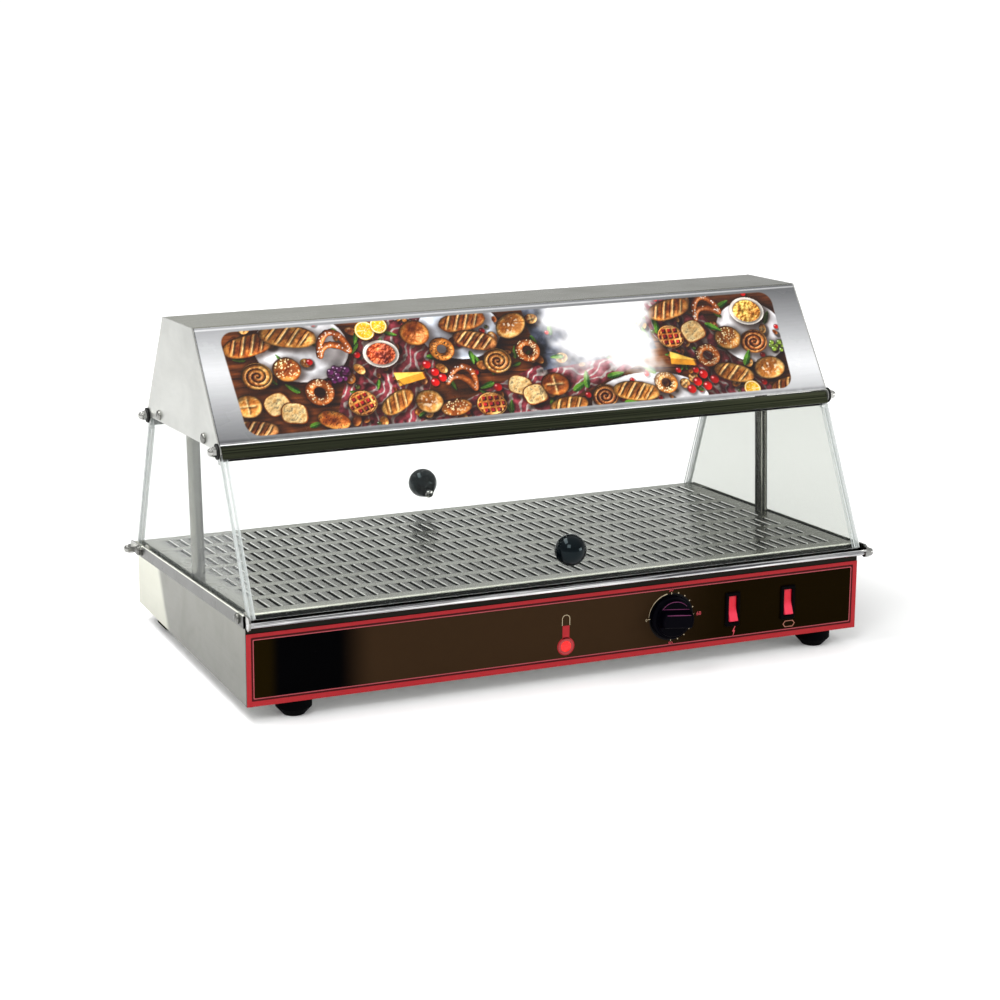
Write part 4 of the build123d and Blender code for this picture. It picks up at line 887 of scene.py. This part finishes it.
def slice_of(cx, cy, a, b, ang, seed):
    """A cut slice: thin brown crust round an open crumb."""
    cast(cx, cy, a, b, ang)
    p = Patch(cx, cy, max(a, b) * 1.1, ang, seed)
    q = (np.abs(p.x / a) ** 3 + np.abs((p.y + 0.12 * b * (p.x / a) ** 2) / b) ** 3) ** (1 / 3) + 0.05 * p.mid
    crumb = lerp((196, 150, 92), (240, 214, 160), 0.6 + 1.6 * p.fine + 0.7 * p.mid)
    holes = smooth(0.12, 0.22, p.fine) * smooth(0.85, 0.7, q)
    rgb = crumb * (1 - 0.35 * holes)[..., None]
    rind = smooth(0.84, 0.93, q)[..., None]
    rgb = rgb * (1 - rind) + np.array((128, 66, 24)) * rind
    sh, sp = p.shade(p.fine * 1.4 - 1.2 * smooth(0.9, 1.0, q), 0, 20, 0.6)
    p.put(smooth(1.0, 0.94, q), rgb * sh[..., None])


def citrus(cx, cy, r, seed, flesh=((214, 150, 20), (250, 214, 84))):
    cast(cx, cy, r, r, 0)
    p = Patch(cx, cy, r * 1.1, 0, seed)
    rad, th = np.hypot(p.x, p.y) / r, np.arctan2(p.y, p.x)
    seg = np.abs(np.mod(th * 9 / (2 * math.pi) + seed * 0.3, 1.0) - 0.5) * 2
    wall = np.maximum(smooth(0.90, 0.985, seg + 0.12 * (0.5 - rad)), smooth(0.10, 0.04, rad))
    wall = np.maximum(wall, smooth(0.80, 0.84, rad))
    rgb = lerp(flesh[0], flesh[1], 0.5 + 1.5 * p.fine + 0.6 * p.mid)
    rgb = rgb * (1 - wall[..., None]) + np.array((246, 236, 196)) * wall[..., None]
    peel = smooth(0.90, 0.93, rad)[..., None]
    rgb = rgb * (1 - peel) + np.array((226, 170, 24)) * peel
    p.put(smooth(1.0, 0.95, rad), rgb)


def wedge(cx, cy, s, ang, seed):
    """A cut of firm yellow cheese with a rind."""
    cast(cx, cy, s * 0.85, s * 0.55, ang)
    p = Patch(cx, cy, s * 1.1, ang, seed)
    face = np.maximum.reduce([-p.y - 0.42 * s, p.y + 0.02 * s, np.abs(p.x) - 0.9 * s])
    topf = np.maximum.reduce([-p.y - 0.02 * s, p.y - 0.50 * (0.9 * s - p.x) * 0.55, -p.x - 0.9 * s])
    hole = smooth(0.16, 0.24, p.mid)
    p.put(smooth(0.5, -0.4, topf), lerp((226, 170, 60), (250, 214, 120), 0.6 + p.mid))
    p.put(smooth(0.5, -0.4, face), lerp((196, 128, 34), (224, 164, 66), 0.5 + p.mid) * (1 - 0.4 * hole)[..., None])
    p.put(smooth(0.5, -0.4, face) * smooth(0.80 * s, 0.88 * s, p.x), (120, 60, 22))


def plate(cx, cy, a, b, seed, col=(222, 220, 222)):
    cast(cx, cy, a, b, 0, 0.7, 2.6, -3.4)
    p = Patch(cx, cy, max(a, b) * 1.05, 0, seed)
    q = np.hypot(p.x / a, p.y / b)
    z = 3.0 * smooth(0.70, 0.95, q)
    sh, sp = p.shade(z, 30, 30, 0.62)
    p.put(smooth(1.0, 0.985, q), np.array(col) * sh[..., None] * (1 - 0.10 * smooth(0.9, 0.2, q))[..., None])
    p.put(0.6 * np.exp(-((q - 0.955) / 0.018) ** 2), (250, 250, 252))


def dish(cx, cy, a, b, seed, lo, hi):
    plate(cx, cy, a, b, seed, (206, 196, 184))
    p = Patch(cx, cy, max(a, b), 0, seed)
    q = np.hypot(p.x / a, p.y / b)
    rgb = lerp(lo, hi, 0.5 + 1.7 * p.mid + 0.8 * p.fine)
    sh, sp = p.shade(p.mid * 4 + p.fine, 90, 12)
    p.put(smooth(0.82, 0.77, q), rgb * sh[..., None] + sp[..., None])
    p.put(0.5 * np.exp(-((q - 0.80) / 0.03) ** 2) * smooth(-1, 1, p.y), (30, 18, 12))


# ground of the picture: boards, a striped cloth, a slate
grain = value_noise(U * 0.09, V, 2.0, 8, 4)
plank = np.exp(-((np.mod(V + 0.06 * U + 400, 27) - 13) / 0.6) ** 2)
art[:] = np.array((112, 64, 34)) * (0.45 + 0.85 * grain)[..., None] * (1 - 0.6 * plank)[..., None]
for cx_, cy_, ang_, wid_ in ((-128, 54, 66, 62), (182, 52, -58, 46), (-8, 20, 20, 34)):
    p = Patch(cx_, cy_, 420, ang_, 4)
    f = p.wide * 26
    stripe = smooth(0.8, 1.6, np.abs(np.mod(p.y + f + 300, 9.0) - 4.5)) * 0.8
    weave = 0.92 + 0.5 * p.fine
    rgb = (np.array((206, 190, 184)) * (1 - stripe)[..., None] + np.array((150, 44, 58)) * stripe[..., None]) * weave[..., None]
    sh, sp = p.shade(p.wide * 14, 0, 1, 0.30)
    m = smooth(1.0, 0.97, np.abs(p.y) / (wid_ * 0.62)) * (np.abs(p.x) < 120)
    p.put(m, rgb * sh[..., None] * 0.94)
p = Patch(74, 84, 90, 6, 6)
m = smooth(1.0, 0.97, np.maximum(np.abs(p.x) / 60, np.abs(p.y) / 34))
p.put(m, np.array((70, 74, 86)) * (0.9 + 1.2 * p.mid)[..., None])
plate(-204, 86, 44, 34, 3)
plate(116, 4, 60, 30, 4)
plate(238, 66, 36, 32, 9)
plate(-52, 92, 40, 30, 8, (198, 204, 214))

# small things that fill the gaps
g_ = np.random.default_rng(77)
for k in range(240):
    x, y, w_ = g_.uniform(-272, 270), g_.uniform(2, 112), g_.random()
    if w_ < 0.24:
        leaf(x, y, g_.uniform(5, 8), g_.uniform(0, 360), 400 + k)
    elif w_ < 0.40:
        ball(x, y, g_.uniform(2.4, 3.6), 400 + k)
    elif w_ < 0.52:
        ball(x, y, g_.uniform(1.9, 2.8), 400 + k, (16, 20, 10), (84, 92, 44))
    elif w_ < 0.80:
        bun(x, y, g_.uniform(3.0, 4.6), g_.uniform(2.0, 2.8), g_.uniform(0, 180), 400 + k, int(g_.integers(4)))
    else:
        bun(x, y, g_.uniform(5, 7), g_.uniform(4, 6), g_.uniform(0, 180), 400 + k, int(g_.integers(4)), ("plain", "flour", "cross", "glaze")[int(g_.integers(4))])

# the larger motifs of the print, left to right
bun(-252, 92, 25, 11, 12, 21, 0, "slash", 2.3)
bun(-214, 98, 27, 11.5, -10, 22, 1, "slash", 2.3)
pretzel(-176, 86, 17, 10, 23)
bun(-250, 62, 15, 13.5, 10, 24, 1, "swirl")
bun(-222, 66, 13.5, 12.5, 0, 25, 0, "seed")
bun(-264, 34, 13, 11.5, 0, 26, 3, "cross")
slice_of(-238, 34, 12.5, 10.5, 24, 27)
slice_of(-224, 24, 12.5, 10.5, -8, 28)
ring(-197, 42, 14.0, 4.6, 29, 0)
bun(-262, 12, 22, 8.5, -6, 30, 2, "slash", 2.4)
grapes(-176, 58, 12, 31)
bun(-160, 28, 14.5, 12.5, 20, 32, 1, "lattice")
bun(-190, 14, 16, 9.5, -20, 33, 0, "poppy")
dish(-132, 74, 17, 13.5, 34, (96, 20, 10), (206, 84, 30))
citrus(-142, 98, 9.5, 35)
citrus(-128, 102, 8.0, 36)
wedge(-110, 50, 15, 12, 37)
bun(-96, 92, 15, 13, 0, 38, 0, "glaze")
ring(-74, 74, 12.5, 4.2, 39, 1, "poppy")
bun(-128, 26, 19, 9.5, 30, 40, 1, "slash", 2.2)
bun(-98, 24, 13.5, 12, 0, 41, 3, "flour")
bun(-48, 100, 24, 10.5, 8, 42, 0, "slash", 2.3)
bun(-40, 80, 22, 10, -14, 43, 2, "slash", 2.3)
pretzel(-62, 44, 16, -14, 44)
bun(-24, 58, 14.5, 13, 12, 45, 1, "swirl")
bun(-74, 16, 16, 8.5, 8, 46, 0, "seed")
for k, (x, y) in enumerate(((-86, 52), (-80, 46), (-88, 42), (-92, 60), (-30, 32))):
    ball(x, y, 4.4, 500 + k)
bun(-40, 16, 15, 12.5, 0, 47, 1, "lattice")
slice_of(-8, 32, 12, 10, -20, 48)
slice_of(4, 22, 12, 10, 14, 49)
bun(-2, 92, 17, 12, 30, 50, 3, "flour")
ring(8, 66, 12.5, 4.4, 51, 0)
bun(26, 30, 14, 12, 0, 52, 0, "cross")
bun(34, 8, 20, 9, 6, 53, 1, "slash", 2.3)
bun(72, 14, 14, 12, 20, 54, 0, "swirl")
bun(104, 16, 24, 10.5, -8, 55, 1, "slash", 2.3)
ring(136, 22, 12, 4.2, 56, 1)
for k, (x, y, a) in enumerate(((50, 26, 30), (58, 32, 80), (88, 34, 10), (122, 38, 140), (98, 4, -12))):
    leaf(x, y, 9, a, 520 + k)
bun(160, 96, 24, 10.5, 14, 57, 0, "slash", 2.3)
bun(154, 68, 14, 12.5, 0, 58, 1, "lattice")
slice_of(178, 72, 12.5, 11, 20, 59)
wedge(160, 44, 14, -8, 60)
pretzel(196, 94, 16, 14, 61)
ring(186, 46, 13, 4.4, 62, 0)
for k, (x, y) in enumerate(((168, 20), (177, 15), (186, 21), (176, 27), (160, 13))):
    ball(x, y, 4.8, 540 + k)
bun(212, 62, 14.5, 12.5, 0, 63, 1, "seed")
dish(240, 88, 18, 14.5, 64, (170, 92, 16), (240, 190, 80))
bun(238, 56, 15, 12.5, 18, 65, 0, "swirl")
bun(208, 26, 21, 10, -16, 66, 1, "slash", 2.3)
bun(246, 28, 17, 12, 8, 67, 3, "flour")
grapes(262, 50, 10, 68, (50, 80, 20), (150, 172, 70))
bun(260, 8, 20, 9, 12, 69, 0, "slash", 2.3)
citrus(222, 8, 8.5, 70)
leaf(226, 40, 9, 60, 71)
leaf(200, 74, 8.5, -30, 72)

# the bare pale field, where the picture fades out
white = smooth(24, 58, U + 0.30 * (V - 60) + 34 * WIDE) * smooth(150, 118, U - 0.12 * (V - 60) + 34 * WIDE) * smooth(20, 50, V + 26 * WIDE + 8 * np.sin(U / 17))
white = white[..., None]
art = np.clip(((art - 104) * 1.10 + 92) * (1 + 0.55 * WIDE + 0.25 * MID - 0.10 * smooth(110, 200, U))[..., None], 0, 255)
art = art * (1 - white) + np.array((240, 238, 238)) * white

# margin round the picture: a painted reflection, a bright band that crosses it on a slant, painted highlights on the
# top and bottom folds, a darker band along the bottom edge, and the picture's rounded window
VZ = 135.7 + V * 93.6 / SLANT
centre = 193.0 + (160.0 - 193.0) * (U + 285.0) / 569.0
off = VZ - centre
painted_reflection_band = 246.0 - 2.25 * np.sqrt(off * off + 16.0) + 9.0
painted_reflection_band = np.where(off < 0, 246.0 - 2.35 * np.sqrt(off * off + 16.0) + 9.4, painted_reflection_band)
painted_reflection_band = np.clip(painted_reflection_band, 100, 246) * (0.80 + 0.035 * smooth(-100, 250, U))
lustre = value_noise(U * 0.06, V, 0.9, 77, 3)
margin_rgb = np.stack([painted_reflection_band, painted_reflection_band + 0.8, painted_reflection_band + 2.4], -1) + (lustre - 0.5)[..., None] * 7
t_ = V / SLANT
xl, xr = -269.5 - 7.0 * t_, 264.5 + 6.0 * t_
y0_, y1_ = 0.048 * SLANT, 0.942 * SLANT
R_ = 13.0
qx = np.maximum(np.maximum(xl + R_ - U, U - (xr - R_)), 0)
qy = np.maximum(np.maximum(y0_ + R_ - V, V - (y1_ - R_)), 0)
inside = smooth(0.6, -0.6, np.hypot(qx, qy) - R_)
# painted highlights along the top and bottom folds of the sheet
fold_painted_highlight = 0.55 * np.exp(-((V - (SLANT - 3.2)) / 0.7) ** 2) + 0.5 * np.exp(-((V - 0.9) / 0.6) ** 2)
margin_rgb = margin_rgb + (252 - margin_rgb) * fold_painted_highlight[..., None]
under = smooth(5.2, 2.0, V)[..., None] * (0.5 + 0.9 * (MID + 0.5))[..., None]
margin_rgb = margin_rgb * (1 - 0.22 * under)
margin_rgb = margin_rgb * (1 - 0.45 * smooth(-296.2, -296.9, U) )[..., None]
art = margin_rgb * (1 - inside[..., None]) + art * inside[..., None]

lin = art / 255.0
lin = np.where(lin <= 0.04045, lin / 12.92, ((lin + 0.055) / 1.055) ** 2.4)
co = np.zeros((nv, nu, 3))
co[..., 0] = U
co[..., 1] = -(108.4 - V * 63.4 / SLANT)
co[..., 2] = 135.7 + V * 93.6 / SLANT
nrm = Vector((0, -93.6, 63.4)).normalized()
co += np.array(nrm) * 0.05
flatco = co.reshape(-1, 3)
M4 = np.array(LEAN)
flatco = flatco @ M4[:3, :3].T + M4[:3, 3]
i = np.arange(nv * nu).reshape(nv, nu)
quads = np.stack([i[:-1, :-1], i[:-1, 1:], i[1:, 1:], i[1:, :-1]], -1).reshape(-1, 4)
me = bpy.data.meshes.new("facade_print")
me.from_pydata(flatco.tolist(), [], quads.tolist())
ca = me.color_attributes.new("print", "BYTE_COLOR", "POINT")
rgba = np.ones((nv * nu, 4), np.float32)
rgba[:, :3] = lin.reshape(-1, 3)
ca.data.foreach_set("color", rgba.ravel())
film = bpy.data.objects.new("facade_print", me)
bpy.context.scene.collection.objects.link(film)
fm = Mat("facade_print_film")
at = fm.nt.nodes.new("ShaderNodeAttribute")
at.attribute_name = "print"
screen = fm.noise(fm.coord((1600, 1600, 1600)), 1.0, 2.0, 0.5)
fm.set("Base Color", fm.mix(0.10, at.outputs["Color"], fm.mix(screen, (0.35, 0.35, 0.35), (1.0, 1.0, 1.0)), "MULTIPLY"))
fm.set("Roughness", fm.math("MULTIPLY_ADD", fm.noise(fm.coord((24, 24, 24)), 1.0, 4.0), 0.10, 0.22))
fm.set("Specular IOR Level", 0.25)
fm.set("Coat Weight", 0.15)
fm.set("Coat Roughness", 0.10)
fm.set("Normal", fm.bump(screen, 0.05, 0.00002))
me.materials.append(fm.m)
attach(film, "cabinet")

# ---------------------------------------------------------------- floor, light, world
fl = bpy.data.meshes.new("floor")
s = 30.0
fl.from_pydata([(-s, -s, -0.0002), (s, -s, -0.0002), (s, s, -0.0002), (-s, s, -0.0002)], [], [(0, 1, 2, 3)])
floor = bpy.data.objects.new("floor", fl)
bpy.context.scene.collection.objects.link(floor)
pm = Mat("pale_floor")
pm.set("Base Color", pm.mix(pm.noise(pm.coord((3, 3, 3)), 1.0, 3.0), (0.90, 0.90, 0.90), (0.94, 0.94, 0.94)))
pm.set("Roughness", 0.8)
pm.set("Specular IOR Level", 0.1)
px_, py_, pz_ = pm.xyz(pm.tc.outputs["Object"])
far = pm.math("SQRT", pm.math("ADD", pm.math("MULTIPLY", px_, px_), pm.math("MULTIPLY", py_, py_)))
pm.set("Emission Color", (1.0, 1.0, 1.0))
pm.set("Emission Strength", pm.remap(far, 0.3, 2.2, 0.08, 0.31))
fl.materials.append(pm.m)


def softbox(name, loc, target, size, power, sy=None, col=(1, 1, 1), spread=180):
    li = bpy.data.lights.new(name, "AREA")
    li.shape = "RECTANGLE"
    li.size, li.size_y = size, sy or size
    li.energy = power
    li.color = col
    li.spread = math.radians(spread)
    o = bpy.data.objects.new(name, li)
    bpy.context.scene.collection.objects.link(o)
    o.location = loc
    o.rotation_euler = (Vector(target) - Vector(loc)).to_track_quat("-Z", "Y").to_euler()
    return o


softbox("key", (-1.5, -2.0, 2.2), (0, 0, 0.15), 1.25, 38)
softbox("fill", (1.75, -1.45, 0.42), (0, -0.1, 0.13), 0.9, 13, 0.5)
softbox("top", (-0.85, 0.35, 2.0), (0, 0, 0.1), 1.8, 36, 0.7)

w = bpy.data.worlds.new("studio")
bpy.context.scene.world = w
w.use_nodes = True
wt = w.node_tree
wt.nodes.clear()
wo = wt.nodes.new("ShaderNodeOutputWorld")
bg = wt.nodes.new("ShaderNodeBackground")
tc = wt.nodes.new("ShaderNodeTexCoord")
sep = wt.nodes.new("ShaderNodeSeparateXYZ")
wt.links.new(tc.outputs["Generated"], sep.inputs[0])
ramp = wt.nodes.new("ShaderNodeValToRGB")
ramp.color_ramp.interpolation = "EASE"
els = ramp.color_ramp.elements
els[0].position, els[0].color = 0.0, (0.82, 0.82, 0.82, 1)
els[1].position, els[1].color = 1.0, (1.0, 1.0, 1.0, 1)
e = els.new(0.52)
e.color = (0.86, 0.86, 0.86, 1)
e = els.new(0.68)
e.color = (0.62, 0.62, 0.61, 1)
e = els.new(0.82)
e.color = (0.80, 0.80, 0.80, 1)
mr = wt.nodes.new("ShaderNodeMapRange")
mr.inputs[1].default_value, mr.inputs[2].default_value = -1.0, 1.0
wt.links.new(sep.outputs[2], mr.inputs[0])
wt.links.new(mr.outputs[0], ramp.inputs[0])
wt.links.new(ramp.outputs[0], bg.inputs["Color"])
bg.inputs["Strength"].default_value = 1.0
wt.links.new(bg.outputs[0], wo.inputs["Surface"])
bpy.context.scene.view_settings.view_transform = "Standard"

bpy.context.view_layer.update()
